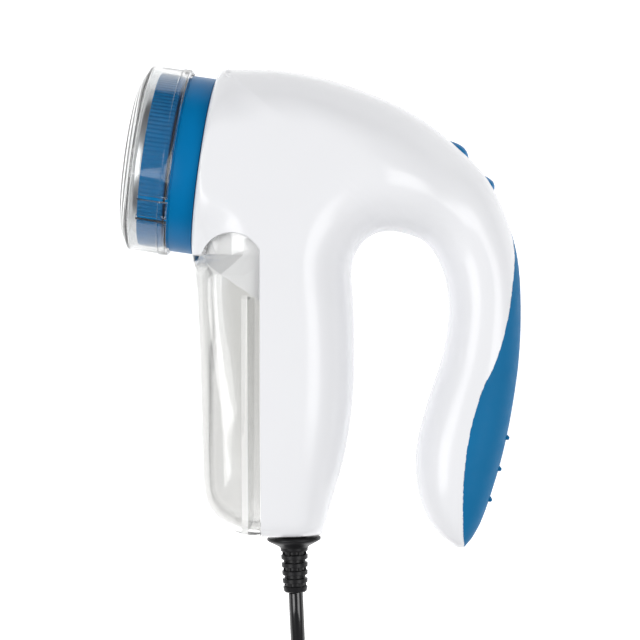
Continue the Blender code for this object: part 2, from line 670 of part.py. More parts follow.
def cutter_parts(axis, looks):
    chamber = [(27.4, 9.6), (27.4, -15.0), (4.0, -15.0), (4.0, -13.2), (25.8, -13.2), (25.8, 9.6)]
    cup = on_axis("cutter_chamber", lathed(chamber, 40), looks["white"], axis)
    boolean(cup, cutter(lint_outlet()), "DIFFERENCE")
    shaft = [(0, 13.2), (1.5, 13.2), (1.5, -53.0), (0, -53.0)]
    smooth(on_axis("motor_shaft", lathed(shaft, 12), looks["steel"], axis))
    fan_hub = [(5.0, -11.8), (5.0, -4.0), (1.6, -4.0), (1.6, -11.8)]
    fan = on_axis("fan", lathed(fan_hub, 12), looks["grey"], axis)
    disc_outline = [(22.0, -11.8), (22.0, -10.6), (3.0, -10.6), (3.0, -11.8)]
    disc = guide(on_axis("disc", lathed(disc_outline, 20), None, axis))
    boolean(fan, disc, "UNION")
    for k in range(6):
        blade = guide(on_axis("vane", boxed((4.0, -0.6, -11.0), (21.5, 0.6, -4.6)), None, axis))
        blade.rotation_euler = (0.0, 0.0, math.tau * k / 6)
        boolean(fan, blade, "UNION")
    hub = [(7.0, 11.0), (7.0, 16.2), (0, 16.2), (0, 15.2), (1.65, 15.2), (1.65, 11.0)]
    hub_item = on_axis("blade_hub", lathed(hub, 12), looks["grey"], axis)
    for k in range(3):
        turn = math.tau * k / 3
        slot = guide(on_axis("slot", boxed((4.0, -0.9, 13.0), (9.0, 0.9, 17.0)), None, axis))
        slot.rotation_euler = (0.0, 0.0, turn)
        boolean(hub_item, slot, "DIFFERENCE")
        outline = [(4.4, 13.4), (23.8, 17.6), (23.8, 21.3), (4.4, 21.3)]
        ring = [[(x, y, z) for x, z in outline] for y in (-0.45, 0.45)]
        blade = on_axis(f"blade_{k + 1}", lofted(ring), looks["steel"], axis)
        blade.rotation_euler = (0.0, 0.0, turn)


def lint_outlet():
    """The window in the lower side of the chamber that the lint leaves by."""
    centre = HEAD - ACROSS * 26.0
    corners = [(-11.5, -4.0), (-2.5, -4.0), (-2.5, 4.0), (-11.5, 4.0)]
    outline = [(centre + OUTWARD * a + ACROSS * b)[:2] for a, b in corners]
    return prism(outline, -12.0, 12.0)


def spring(name, radius, wire, low, high, turns, finish, axis):
    """A coil spring about the head's axis."""
    count = SPRING_STEPS * turns
    curve = bpy.data.curves.new(name, "CURVE")
    curve.dimensions = "3D"
    curve.bevel_depth = wire / 2 * MM
    curve.bevel_resolution = 1
    curve.use_fill_caps = True
    path = curve.splines.new("POLY")
    path.points.add(count)
    for k, point in enumerate(path.points):
        turn = math.tau * k / SPRING_STEPS
        height = low + (high - low) * k / count
        point.co = (radius * MM * math.cos(turn), radius * MM * math.sin(turn), height * MM, 1.0)
    item = link(name, curve, finish)
    item.parent = axis
    return item


def motor_parts(axis, looks):
    can = [(14.0, -17.5), (14.0, -45.0), (12.8, -45.0), (12.8, -18.7), (3.4, -18.7), (3.4, -17.5)]
    smooth(on_axis("motor_can", lathed(can, 32), looks["steel"], axis))
    cap = [(14.0, -45.4), (14.0, -49.0), (3.4, -49.0), (3.4, -46.6), (12.2, -46.6), (12.2, -45.4)]
    smooth(on_axis("motor_end_cap", lathed(cap, 32), looks["black"], axis))
    for name, low, high in (("front_bush", -19.6, -16.6), ("rear_bush", -49.6, -46.0)):
        bush = [(3.1, low), (3.1, high), (1.6, high), (1.6, low)]
        smooth(on_axis(name, lathed(bush, 12), looks["brass"], axis))
    armature = [(9.6, -22.0), (9.6, -38.0), (1.8, -38.0), (1.8, -22.0)]
    on_axis("armature", lathed(armature, 24), looks["copper"], axis)
    commutator = [(4.2, -39.0), (4.2, -44.6), (1.8, -44.6), (1.8, -39.0)]
    on_axis("commutator", lathed(commutator, 16), looks["copper"], axis)
    for name, start in (("magnet_1", 0.35), ("magnet_2", 0.35 + math.pi)):
        turns = [start + (math.pi - 0.7) * k / 8 for k in range(9)]
        outline = [(12.4 * math.cos(t), 12.4 * math.sin(t)) for t in turns]
        outline += [(10.3 * math.cos(t), 10.3 * math.sin(t)) for t in reversed(turns)]
        on_axis(name, prism(outline, -40.0, -20.0), looks["black"], axis)
    plate = [(18.5, -15.3), (18.5, -17.2), (5.0, -17.2), (5.0, -15.3)]
    on_axis("motor_plate", lathed(plate, 24), looks["grey"], axis)


# ---------------------------------------------------------------- mains parts and the lead


def relief_rings(profile, grow, count=16):
    """Rings about the strain relief's own slanting axis, from (distance down, radius) pairs."""
    down = (RELIEF_END - RELIEF_TOP).normalized()
    side = Vector((-down.y, down.x, 0.0))
    up = Vector((0, 0, 1))
    return [
        [RELIEF_TOP + down * along + (side * math.cos(math.tau * k / count)
                                      + up * math.sin(math.tau * k / count)) * (radius + grow)
         for k in range(count)]
        for along, radius in profile
    ]


def relief_solid(grow):
    """The relief's neck through the housing's floor, for the hole that it sits in."""
    return lofted(relief_rings([(-6.0, 4.3), (1.2, 4.3)], grow))


def strain_relief(finish):
    profile = [(-5.5, 6.2), (-3.6, 6.2), (-3.4, 4.3), (0.8, 4.3), (0.9, 9.3), (1.7, 9.6), (2.6, 8.6), (3.8, 6.0),
               (4.6, 4.8)]
    for k in range(5):
        start = 5.2 + 2.8 * k
        radius = 4.75 - 0.1 * k
        profile += [(start, radius), (start + 1.5, radius), (start + 1.7, 3.7), (start + 2.5, 3.7)]
    long = (RELIEF_END - RELIEF_TOP).length
    profile += [(long - 1.2, 4.2), (long, 3.4)]
    return placed("strain_relief", lofted(relief_rings(profile, 0.0, 14)), finish, RELIEF_TOP)


def coil_ring(finish):
    """The outer form of the coiled lead, lying on the floor."""
    low, high = COIL_TURNS_R[1] - CORD_D / 2, COIL_TURNS_R[0] + CORD_D / 2
    top, bend = COIL_LAYERS * CORD_D, 1.2
    profile = [(low, bend), (low, top - bend), (low + bend, top), (high - bend, top), (high, top - bend),
               (high, bend), (high - bend, 0.0), (low + bend, 0.0)]
    points, faces = lathed(profile, 36)
    at = Vector((COIL_AT.x, COIL_AT.y, FLOOR))
    return smooth(placed("cord_coil", ([Vector(p) + at for p in points], faces), finish, at))


def cord_tie(finish):
    """The strap round the coil's bundle, at the side towards the shaver."""
    low, high = COIL_TURNS_R[1] - CORD_D / 2 - 1.0, COIL_TURNS_R[0] + CORD_D / 2 + GAP
    top = COIL_LAYERS * CORD_D + GAP
    thick = 1.1
    outer = [(low - thick, 0.0), (high + thick, 0.0), (high + thick, top + thick), (low - thick, top + thick)]
    inner = [(low, 0.0), (high, 0.0), (high, top), (low, top)]
    outline = [outer[0], inner[0], inner[3], inner[2], inner[1], outer[1], outer[2], outer[3]]
    half = 5.0
    rings = [[(COIL_AT.x - half + wide, COIL_AT.y + r, FLOOR + z) for r, z in outline] for wide in (0.0, 2 * half)]
    return placed("cord_tie", lofted(rings), finish, (COIL_AT.x, COIL_AT.y + COIL_TURNS_R[0], FLOOR))


def plug(looks):
    """A flat two-pin plug, on the floor at the end of the lead."""
    def at(along, aside, up):
        x = along * -math.sin(PLUG_TURN) + aside * math.cos(PLUG_TURN)
        y = along * math.cos(PLUG_TURN) + aside * math.sin(PLUG_TURN)
        return PLUG_AT + Vector((x, y, up))

    body = []
    for along, wide, high in ((0.0, 3.5, 3.5), (7.0, 4.4, 4.4), (15.0, 11.5, 4.5), (19.0, 12.8, 4.5),
                              (32.0, 12.8, 4.5), (33.6, 12.0, 3.9)):
        body.append([at(along, wide * c, high * s) for c, s in octagon(0.72)])
    placed("plug_body", lofted(body), looks["black"], PLUG_AT)
    for name, aside in (("plug_pin_1", -9.2), ("plug_pin_2", 9.2)):
        rings = [[at(along, aside + radius * math.cos(math.tau * k / 8), radius * math.sin(math.tau * k / 8))
                  for k in range(8)] for along, radius in ((33.9, 2.0), (51.6, 2.0), (52.9, 1.2))]
        placed(name, lofted(rings), looks["brass"], at(33.9, aside, 0.0))


def octagon(cut):
    """The corners of a square of half size 1 with its corners cut off."""
    return [(1, -cut), (1, cut), (cut, 1), (-cut, 1), (-1, cut), (-1, -cut), (-cut, -1), (cut, -1)]


def mains_parts(looks):
    board = boxed((-15.0, -52.0, -11.0), (3.6, -12.0, -9.4))
    placed("rectifier_board", board, looks["board"], (-15.0, -52.0, -11.0))
    placed("filter_capacitor", prism(circle(-7.0, -22.0, 6.0, 16), -9.0, 9.0), looks["black"], (-7.0, -22.0, -9.0))
    placed("dropper_capacitor", boxed((-14.0, -46.0, -9.0), (-5.0, -32.0, 0.0)), looks["amber"])
    placed("bridge_rectifier", boxed((-3.0, -44.0, -9.0), (2.5, -36.0, -5.0)), looks["black"])
    clamp = boxed((-16.8, -71.0, -8.0), (-5.2, -65.0, -3.0))
    placed("cord_clamp", clamp, looks["white"], (-11.0, -68.0, -8.0))
    for k, x in enumerate((-15.4, -6.5)):
        screw = prism(circle(x, -68.0, 1.2, 8), -2.7, 4.0)
        placed(f"clamp_screw_{k + 1}", screw, looks["steel"], (x, -68.0, -2.7))
    start = RELIEF_TOP + Vector((-0.4, 6.0, 0.0))
    route = [start, start + Vector((-0.3, 2.5, 0.0)), start + Vector((-0.6, 5.0, 0.0))]
    tube("cord_inner", route, CORD_D / 2 - 0.3, looks["black"])
    ends = Vector((-10.6, -69.2, 0.0))
    live = [ends + Vector((0.9, 0.0, 0.6)), Vector((-9.2, -60.0, 1.4)), Vector((-9.0, -54.0, -4.0)),
            Vector((-9.0, -49.0, -8.7))]
    tube("mains_wire_1", live, 0.7, looks["wire"])
    back = [ends + Vector((-0.9, 0.0, -0.6)), Vector((-12.6, -60.0, -1.4)), Vector((-13.4, -54.0, -5.0)),
            Vector((-13.6, -50.0, -8.7))]
    tube("mains_wire_2", back, 0.7, looks["wire"])
    plus = [Vector((1.4, -30.0, -8.7)), Vector((0.6, -20.0, -2.0)), Vector((-2.6, 0.0, 5.0)),
            Vector((-2.0, 13.0, 8.0)), Vector((5.6, 23.4, 8.0)), Vector((11.2, 30.0, 6.0)),
            Vector((11.4, 36.0, 5.0))]
    tube("motor_wire_1", plus, 0.7, looks["wire"])
    minus = [Vector((1.4, -24.0, -8.7)), Vector((0.4, -16.0, -6.0)), Vector((-2.6, -2.0, -7.0)),
             Vector((-2.0, 13.0, -8.0)), Vector((5.6, 23.4, -8.0)), Vector((11.2, 30.0, -6.0)),
             Vector((11.4, 36.0, -5.0))]
    tube("motor_wire_2", minus, 0.7, looks["wire"])


def looks_of():
    return {
        "white": material("white", (0.88, 0.88, 0.9), 0.25),
        "blue": material("blue", (0.0, 0.165, 0.434), 0.35),
        "grip": material("grip", (0.02, 0.155, 0.375), 0.6),
        "clear": material("clear", (0.9, 0.92, 0.92), 0.05, alpha=0.3),
        "foil": material("foil", (0.75, 0.75, 0.76), 0.25, metallic=1.0),
        "steel": material("steel", (0.6, 0.6, 0.62), 0.3, metallic=1.0),
        "brass": material("brass", (0.75, 0.6, 0.35), 0.3, metallic=1.0),
        "copper": material("copper", (0.6, 0.3, 0.18), 0.4, metallic=0.8),
        "black": material("black", (0.012, 0.012, 0.013), 0.3),
        "grey": material("grey", (0.35, 0.36, 0.38), 0.4),
        "board": material("board", (0.05, 0.25, 0.1), 0.5),
        "amber": material("amber", (0.55, 0.3, 0.05), 0.4),
        "wire": material("wire", (0.5, 0.05, 0.04), 0.4),
    }


def build():
    clear_scene()
    looks = looks_of()
    axis = bpy.data.objects.new("head_axis", None)
    bpy.context.scene.collection.objects.link(axis)
    turn = Matrix((Vector((0, 0, 1)), ACROSS, OUTWARD)).transposed()
    axis.matrix_world = Matrix.Translation(world(HEAD)) @ turn.to_4x4()

    housing_half("housing_left", 1, looks["white"])
    housing_half("housing_right", -1, looks["white"])
    for k, screw in enumerate(SCREWS):
        housing_screw(f"housing_screw_{k + 1}", *screw, looks["steel"])
    lint_bin(looks["clear"])
    lint_duct(looks["white"])
    soft_grip(looks["grip"])
    switch_slider(looks["blue"])
    switch_body(looks["black"])
    head_parts(axis, looks)
    cutter_parts(axis, looks)
    spring("blade_spring", 3.6, 0.5, -3.2, 10.2, 5, looks["steel"], axis)
    motor_parts(axis, looks)
    mains_parts(looks)
    strain_relief(looks["black"])
    tube("cord", LEAD_ROUTE, CORD_D / 2, looks["black"])
    coil_ring(looks["black"])
    cord_tie(looks["black"])
    tube("cord_tail", TAIL_ROUTE, CORD_D / 2, looks["black"])
    plug(looks)


build()
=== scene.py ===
import math

import bmesh
import bpy
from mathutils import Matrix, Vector

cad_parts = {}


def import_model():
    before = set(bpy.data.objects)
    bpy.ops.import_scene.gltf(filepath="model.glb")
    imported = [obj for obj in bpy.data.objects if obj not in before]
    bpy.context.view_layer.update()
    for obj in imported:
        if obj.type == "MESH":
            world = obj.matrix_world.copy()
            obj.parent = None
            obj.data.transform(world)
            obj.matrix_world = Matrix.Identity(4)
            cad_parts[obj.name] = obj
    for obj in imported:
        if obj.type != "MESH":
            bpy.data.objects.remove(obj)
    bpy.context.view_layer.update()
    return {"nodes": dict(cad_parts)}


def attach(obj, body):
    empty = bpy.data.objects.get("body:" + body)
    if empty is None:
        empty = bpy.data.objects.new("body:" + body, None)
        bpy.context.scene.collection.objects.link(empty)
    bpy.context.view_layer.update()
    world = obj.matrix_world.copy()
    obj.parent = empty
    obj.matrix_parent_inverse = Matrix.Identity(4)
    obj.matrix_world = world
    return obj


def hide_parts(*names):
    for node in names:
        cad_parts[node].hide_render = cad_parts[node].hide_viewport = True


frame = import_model()
scene = bpy.context.scene

# The design is drawn in millimetres about its mid-plane, as the CAD source is. MM and PLACE turn the
# drawing into metres above the floor.
MM = 0.001
FLAT = 33.5  # half the width across the flat cheeks
PLACE = Vector((-0.3, -0.29, FLAT))
FLOOR = -FLAT

TILT = math.radians(8.3)
HEAD = Vector((-40.7, 49.7, 0.0))
OUTWARD = Vector((-math.cos(TILT), math.sin(TILT), 0.0))
ACROSS = Vector((math.sin(TILT), math.cos(TILT), 0.0))
UP = Vector((0.0, 0.0, 1.0))
FACE_R = 35.4
FACE_ROUND = 4.0
MOUTH_R = 28.2

# Stations of the housing: outer outline point, inner outline point, half width, the roundness towards the
# inner and the outer point, and two creases. Each crease lies at a share of the station; the skin falls away
# outside the first one, by its second number, and inside it, by its third, and only outside the other one.
BODY = [
    ((-20.8, -80.8), (0.3, -80.6), 7.0, (2.6, 2.6), (0.72, 0.0, 0.2), (0.3, 0.0)),
    ((-22.8, -80.3), (0.6, -79.8), 13.0, (2.8, 2.8), (0.72, 0.0, 0.25), (0.3, 0.0)),
    ((-26.6, -79.7), (0.9, -78.9), 17.4, (3.0, 3.0), (0.75, 0.0, 0.3), (0.3, 0.0)),
    ((-31.2, -78.1), (1.4, -77.2), 20.6, (3.2, 3.2), (0.8, 0.0, 0.35), (0.3, 0.1)),
    ((-37.8, -74.2), (2.4, -74.2), 23.0, (3.2, 3.4), (0.84, 0.0, 0.45), (0.3, 0.25)),
    ((-42.0, -67.0), (4.4, -66.6), 25.0, (3.2, 3.8), (0.8, 0.0, 0.5), (0.31, 0.4)),
    ((-43.1, -51.0), (8.7, -51.0), 28.0, (3.2, 4.4), (0.76, 0.0, 0.5), (0.31, 0.45)),
    ((-43.3, -28.0), (11.6, -29.5), 31.0, (3.2, 5.0), (0.76, 0.0, 0.5), (0.19, 0.45)),
    ((-43.8, -5.0), (11.9, -5.0), 33.0, (3.1, 5.6), (0.74, 0.0, 0.5), (0.095, 0.45)),
    ((-44.3, 10.0), (10.9, 11.4), 34.2, (3.0, 5.0), (0.68, 0.0, 0.4), (0.07, 0.4)),
]
DOME = 3  # stations that round off the body's bottom; the cavity's own bottom is flatter
CAVITY_END = 14.0  # half width at the cavity's bottom, before the wall is taken off
GAP_TOP = [(11.2, 15.2), (12.6, 19.4), (15.8, 23.8), (20.4, 26.7), (25.0, 27.3)]
FACE_FROM, FACE_TO = -31.8, 29.0
ARCH = [
    ((-36.2, 80.4), (25.0, 27.3), 34.5, (2.8, 2.1), (0.6, 0.0, 0.0), (0.1, 0.0)),
    ((-34.9, 82.3), (25.8, 27.3), 34.5, (2.8, 2.1), (0.6, 0.0, 0.0), (0.1, 0.0)),
    ((-32.3, 83.4), (26.6, 27.3), 34.4, (2.8, 2.1), (0.6, 0.02, 0.0), (0.1, 0.0)),
    ((-15.5, 83.7), (28.2, 27.0), 34.2, (2.7, 2.1), (0.62, 0.06, 0.0), (0.1, 0.0)),
    ((3.3, 80.2), (30.4, 26.5), 33.6, (2.6, 2.15), (0.62, 0.2, 0.04), (0.1, 0.0)),
    ((22.7, 73.2), (33.4, 25.4), 31.0, (2.5, 2.25), (0.6, 0.3, 0.1), (0.1, 0.0)),
    ((35.9, 66.2), (36.8, 23.8), 27.6, (2.4, 2.3), (0.585, 0.36, 0.14), (0.1, 0.0)),
    ((48.4, 56.4), (40.0, 20.3), 22.8, (2.4, 2.4), (0.56, 0.36, 0.18), (0.1, 0.0)),
    ((59.2, 45.2), (42.6, 15.6), 19.0, (2.4, 2.4), (0.52, 0.32, 0.2), (0.1, 0.0)),
    ((66.0, 30.9), (44.6, 9.6), 17.5, (2.3, 2.3), (0.47, 0.26, 0.2), (0.1, 0.0)),
    ((69.8, 17.0), (45.6, 2.0), 17.0, (2.3, 2.3), (0.43, 0.2, 0.16), (0.1, 0.0)),
    ((70.9, 0.0), (45.4, -6.5), 17.0, (2.3, 2.3), (0.45, 0.14, 0.12), (0.1, 0.0)),
    ((70.2, -18.5), (43.0, -19.0), 17.0, (2.3, 2.3), (0.52, 0.1, 0.1), (0.1, 0.0)),
    ((67.7, -36.6), (38.1, -34.0), 17.0, (2.3, 2.3), (0.58, 0.08, 0.08), (0.1, 0.0)),
    ((64.5, -52.0), (34.2, -50.0), 16.6, (2.3, 2.3), (0.6, 0.06, 0.06), (0.1, 0.0)),
    ((60.6, -65.4), (34.5, -63.5), 15.6, (2.3, 2.3), (0.6, 0.04, 0.04), (0.1, 0.0)),
    ((57.1, -75.4), (37.4, -73.4), 13.0, (2.2, 2.2), (0.6, 0.02, 0.02), (0.1, 0.0)),
    ((54.2, -81.0), (41.4, -79.6), 10.0, (2.1, 2.1), (0.6, 0.0, 0.0), (0.1, 0.0)),
    ((52.4, -83.4), (44.9, -82.9), 7.4, (2.1, 2.1), (0.6, 0.0, 0.0), (0.1, 0.0)),
    ((51.2, -84.9), (47.6, -84.8), 4.4, (2.0, 2.0), (0.6, 0.0, 0.0), (0.1, 0.0)),
]
WALL = 2.0
BIN_WALL = 1.6
SEAM = 0.15  # from the mid-plane to each half's edge

BIN_FOOT_Y = -95.0
BIN_ARCH = ((-20.7, 19.0), (-30.8, 24.7), (-41.0, 17.6))
BIN_REAR_WALL = (-26.8, -24.7, -79.6, 3.4)  # x from, x to, y from, y to

GRIP_EDGE = [
    (66.9, 28.7), (67.8, 19.1), (67.2, 11.4), (64.9, -4.1), (60.5, -19.2),
    (56.4, -27.4), (52.8, -38.4), (50.5, -49.8), (49.3, -63.0), (49.6, -77.9), (50.5, -84.3),
]
GRIP_THICK = 1.8
NUBS = ((65.9, -46.1), (63.1, -57.1), (59.8, -67.9))
NUB_ASIDE = 5.5  # from the middle nub of a row to the other two
NUB_R, NUB_SUNK, NUB_PROUD = 0.8, 1.3, 0.95
BACK_MIDDLE, BACK_R = 10.0, 340.0  # the grip's bow in the side view

SLIDER_FROM = Vector((45.6, 59.4, 0.0))
SLIDER_TO = Vector((61.6, 40.9, 0.0))
SLIDER_WIDE = 6.0
SLIDER_DEEP = 4.6
SLIDER_TRAVEL = 4.0

SCREWS = (  # x, y and the height of the head's seat
    (-5.0, 69.8, -23.0),
    (25.5, 47.5, -21.0),
    (57.4, 6.0, -7.0),
    (44.0, -55.0, -7.0),
    (4.5, 9.0, -22.0),
    (-1.0, -66.0, -14.0),
)
SCREW_HEAD_R = 2.5

CORD_D = 5.2
RELIEF_TOP = Vector((-9.5, -80.9, 0.0))
RELIEF_END = Vector((-8.9, -101.3, 0.0))
COIL_AT = Vector((24.0, -196.0, 0.0))
COIL_OUT, COIL_IN = 32.6, 27.4
LEAD_ROUTE = [
    (-8.8, -101.7, 0.0), (-8.5, -109.0, -0.3), (-8.1, -118.4, -2.0), (-7.8, -128.0, -6.6),
    (-7.7, -138.0, -13.6), (-7.8, -148.0, -21.0), (-8.0, -157.5, -26.6), (-8.3, -167.0, -29.8),
    (-8.5, -176.2, -30.9),
]
TAIL_ROUTE = [
    (52.9, -222.6, -26.6), (57.6, -217.4, -29.2), (61.4, -211.0, -30.6), (63.9, -204.0, -30.9),
    (65.3, -197.0, -30.8), (66.0, -190.6, -29.6),
]
PLUG_AT = Vector((66.4, -189.9, -29.0))
PLUG_TURN = math.radians(-3.0)


# ---------------------------------------------------------------- curves and meshes


def world(point):
    """A drawing point in metres, in the row's frame."""
    return (Vector(point) + PLACE) * MM


def on_head(point):
    """A point about the head's axis, (aside, across, axial), as a drawing point."""
    return HEAD + UP * point[0] + ACROSS * point[1] + OUTWARD * point[2]


def spline(points, t):
    """A point on the smooth curve through the points, at t from 0 to their number less one."""
    k = min(int(t), len(points) - 2)
    u = t - k
    rows = [Vector(points[min(max(i, 0), len(points) - 1)]) for i in (k - 1, k, k + 1, k + 2)]
    if k == 0:
        rows[0] = rows[1] * 2 - rows[2]
    if k == len(points) - 2:
        rows[3] = rows[2] * 2 - rows[1]
    before, start, end, after = rows
    slope_a, slope_b = (end - before) / 2, (after - start) / 2
    return (
        start * (2 * u**3 - 3 * u**2 + 1)
        + slope_a * (u**3 - 2 * u**2 + u)
        + end * (3 * u**2 - 2 * u**3)
        + slope_b * (u**3 - u**2)
    )


def curve_through(points, per_span):
    """Points on the smooth curve through flat or solid points."""
    solid = [Vector((*p, 0.0)) if len(p) == 2 else Vector(p) for p in points]
    count = (len(solid) - 1) * per_span
    return [spline(solid, k / per_span) for k in range(count + 1)]


def smooth_step(t):
    t = min(1.0, max(0.0, t))
    return t * t * (3 - 2 * t)


def mesh_of(name, points, faces, place=world):
    """A mesh in metres, in the row's frame, from drawing points, with its faces turned outwards."""
    shape = bmesh.new()
    corners = [shape.verts.new(place(p)) for p in points]
    for face in faces:
        shape.faces.new([corners[i] for i in face])
    bmesh.ops.recalc_face_normals(shape, faces=shape.faces)
    bmesh.ops.triangulate(shape, faces=[f for f in shape.faces if len(f.verts) > 4])
    mesh = bpy.data.meshes.new(name)
    shape.to_mesh(mesh)
    shape.free()
    return mesh


def made(name, shape, finish=None):
    item = bpy.data.objects.new(name, mesh_of(name, *shape))
    scene.collection.objects.link(item)
    if finish:
        item.data.materials.append(finish)
    return item


def smooth(item, degrees=32.0):
    item.data.shade_smooth()
    item.data.set_sharp_from_angle(angle=math.radians(degrees))
    return item


def joined(shapes):
    """Several closed shapes, which don't touch, as one."""
    points, faces = [], []
    for more, sides in shapes:
        faces += [[i + len(points) for i in side] for side in sides]
        points += list(more)
    return points, faces


def turned(shape):
    """A shape drawn about the head's axis, put in the drawing."""
    return [on_head(p) for p in shape[0]], shape[1]


def lofted(rings):
    """Points and faces of a closed skin over rings of equal size, with both ends capped."""
    size = len(rings[0])
    points = [p for ring in rings for p in ring]
    faces = []
    for k in range(len(rings) - 1):
        for j in range(size):
            a, b = k * size + j, k * size + (j + 1) % size
            faces.append((a, b, b + size, a + size))
    last = (len(rings) - 1) * size
    faces.append(tuple(reversed(range(size))))
    faces.append(tuple(range(last, last + size)))
    return points, faces


def hooped(rings):
    """Points and faces of a closed hoop over rings of equal size, the last joined to the first."""
    size = len(rings[0])
    points = [p for ring in rings for p in ring]
    faces = []
    for m in range(len(rings)):
        low, high = m * size, (m + 1) % len(rings) * size
        for k in range(size):
            n = (k + 1) % size
            faces.append((low + k, low + n, high + n, high + k))
    return points, faces


def lathed(profile, segments):
    """Points and faces of a profile of (radius, height) turned about Z. Its ends may lie on Z."""
    points, rows = [], []
    for radius, height in profile:
        if radius == 0:
            rows.append([len(points)] * segments)
            points.append((0.0, 0.0, height))
        else:
            rows.append(list(range(len(points), len(points) + segments)))
            for k in range(segments):
                turn = math.tau * k / segments
                points.append((radius * math.cos(turn), radius * math.sin(turn), height))
    solid = profile[0][0] == 0
    pairs = list(zip(rows, rows[1:])) if solid else list(zip(rows, rows[1:] + rows[:1]))
    faces = []
    for low, high in pairs:
        for k in range(segments):
            n = (k + 1) % segments
            face = [low[k], low[n], high[n], high[k]]
            face = [f for i, f in enumerate(face) if f != face[i - 1]]
            if len(face) > 2:
                faces.append(face)
    return points, faces


def rounded(corners, closed=True, steps=4):
    """An outline of (x, y, radius) corners, with each corner rounded by its radius."""
    line = []
    count = len(corners)
    for k, (x, y, radius) in enumerate(corners):
        here = Vector((x, y))
        if radius == 0 or (not closed and k in (0, count - 1)):
            line.append((x, y))
            continue
        before = Vector(corners[k - 1][:2]) - here
        after = Vector(corners[(k + 1) % count][:2]) - here
        half = before.angle(after) / 2
        run = min(radius / math.tan(half), before.length * 0.49, after.length * 0.49)
        start, end = here + before.normalized() * run, here + after.normalized() * run
        bow = run * math.tan(half) * (1 / math.sin(half) - 1)
        middle = here + (before.normalized() + after.normalized()).normalized() * bow
        control = middle * 2 - (start + end) / 2
        for j in range(steps + 1):
            t = j / steps
            p = start * (1 - t) ** 2 + control * 2 * t * (1 - t) + end * t * t
            line.append((p.x, p.y))
    return line


def prism(outline, low, high):
    """Points and faces of a flat outline pushed from z = low to z = high."""
    return lofted([[(p[0], p[1], z) for p in outline] for z in (low, high)])


def boxed(low, high):
    (x0, y0, z0), (x1, y1, z1) = low, high
    return prism([(x0, y0), (x1, y0), (x1, y1), (x0, y1)], z0, z1)


def circle(x, y, radius, count):
    turns = [math.tau * k / count for k in range(count)]
    return [(x + radius * math.cos(t), y + radius * math.sin(t)) for t in turns]


def arc_through(first, middle, last, steps):
    """Points on the circle through three points, from the first to the last."""
    (ax, ay), (bx, by), (cx, cy) = first, middle, last
    d = 2 * (ax * (by - cy) + bx * (cy - ay) + cx * (ay - by))
    a2, b2, c2 = ax * ax + ay * ay, bx * bx + by * by, cx * cx + cy * cy
    ox = (a2 * (by - cy) + b2 * (cy - ay) + c2 * (ay - by)) / d
    oy = (a2 * (cx - bx) + b2 * (ax - cx) + c2 * (bx - ax)) / d
    radius = math.hypot(ax - ox, ay - oy)
    start, via, end = (math.atan2(y - oy, x - ox) for x, y in (first, middle, last))
    sweep = (end - start) % math.tau
    if (via - start) % math.tau > sweep:
        sweep -= math.tau
    turns = [start + sweep * k / steps for k in range(steps + 1)]
    return [(ox + radius * math.cos(t), oy + radius * math.sin(t)) for t in turns]


def carved(item, *steps):
    """The object's mesh after each (operation, shape) in turn."""
    tools = []
    for operation, shape in steps:
        tool = shape if isinstance(shape, bpy.types.Object) else made("tool", shape)
        tools.append(tool)
        step = item.modifiers.new(operation.lower(), "BOOLEAN")
        step.operation = operation
        step.solver = "EXACT"
        step.object = tool
    bpy.context.view_layer.update()
    seen = item.evaluated_get(bpy.context.evaluated_depsgraph_get())
    mesh = bpy.data.meshes.new_from_object(seen)
    item.modifiers.clear()
    old, item.data = item.data, mesh
    bpy.data.meshes.remove(old)
    mesh.name = item.name
    for tool in tools:
        bpy.data.objects.remove(tool, do_unlink=True)
    return item


def piece(item, body, slot, *nodes):
    """Puts a finished piece on its body, in place of its CAD nodes."""
    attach(item, body)
    if nodes:
        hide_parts(*nodes)
    return item


# ---------------------------------------------------------------- camera


VIEW_CENTRE = (-0.2, -4.6)
VIEW_HEIGHT = 604.5  # from the mid-plane
VIEW_LENS = 95.6


def make_camera():
    data = bpy.data.cameras.new("camera")
    data.sensor_width = 36.0
    data.lens = VIEW_LENS
    data.clip_start, data.clip_end = 0.01, 20.0
    item = bpy.data.objects.new("camera", data)
    scene.collection.objects.link(item)
    item.location = world((*VIEW_CENTRE, VIEW_HEIGHT))
    scene.camera = item


make_camera()


# ---------------------------------------------------------------- materials


def socket(shader, name, value):
    shader.inputs[name].default_value = value


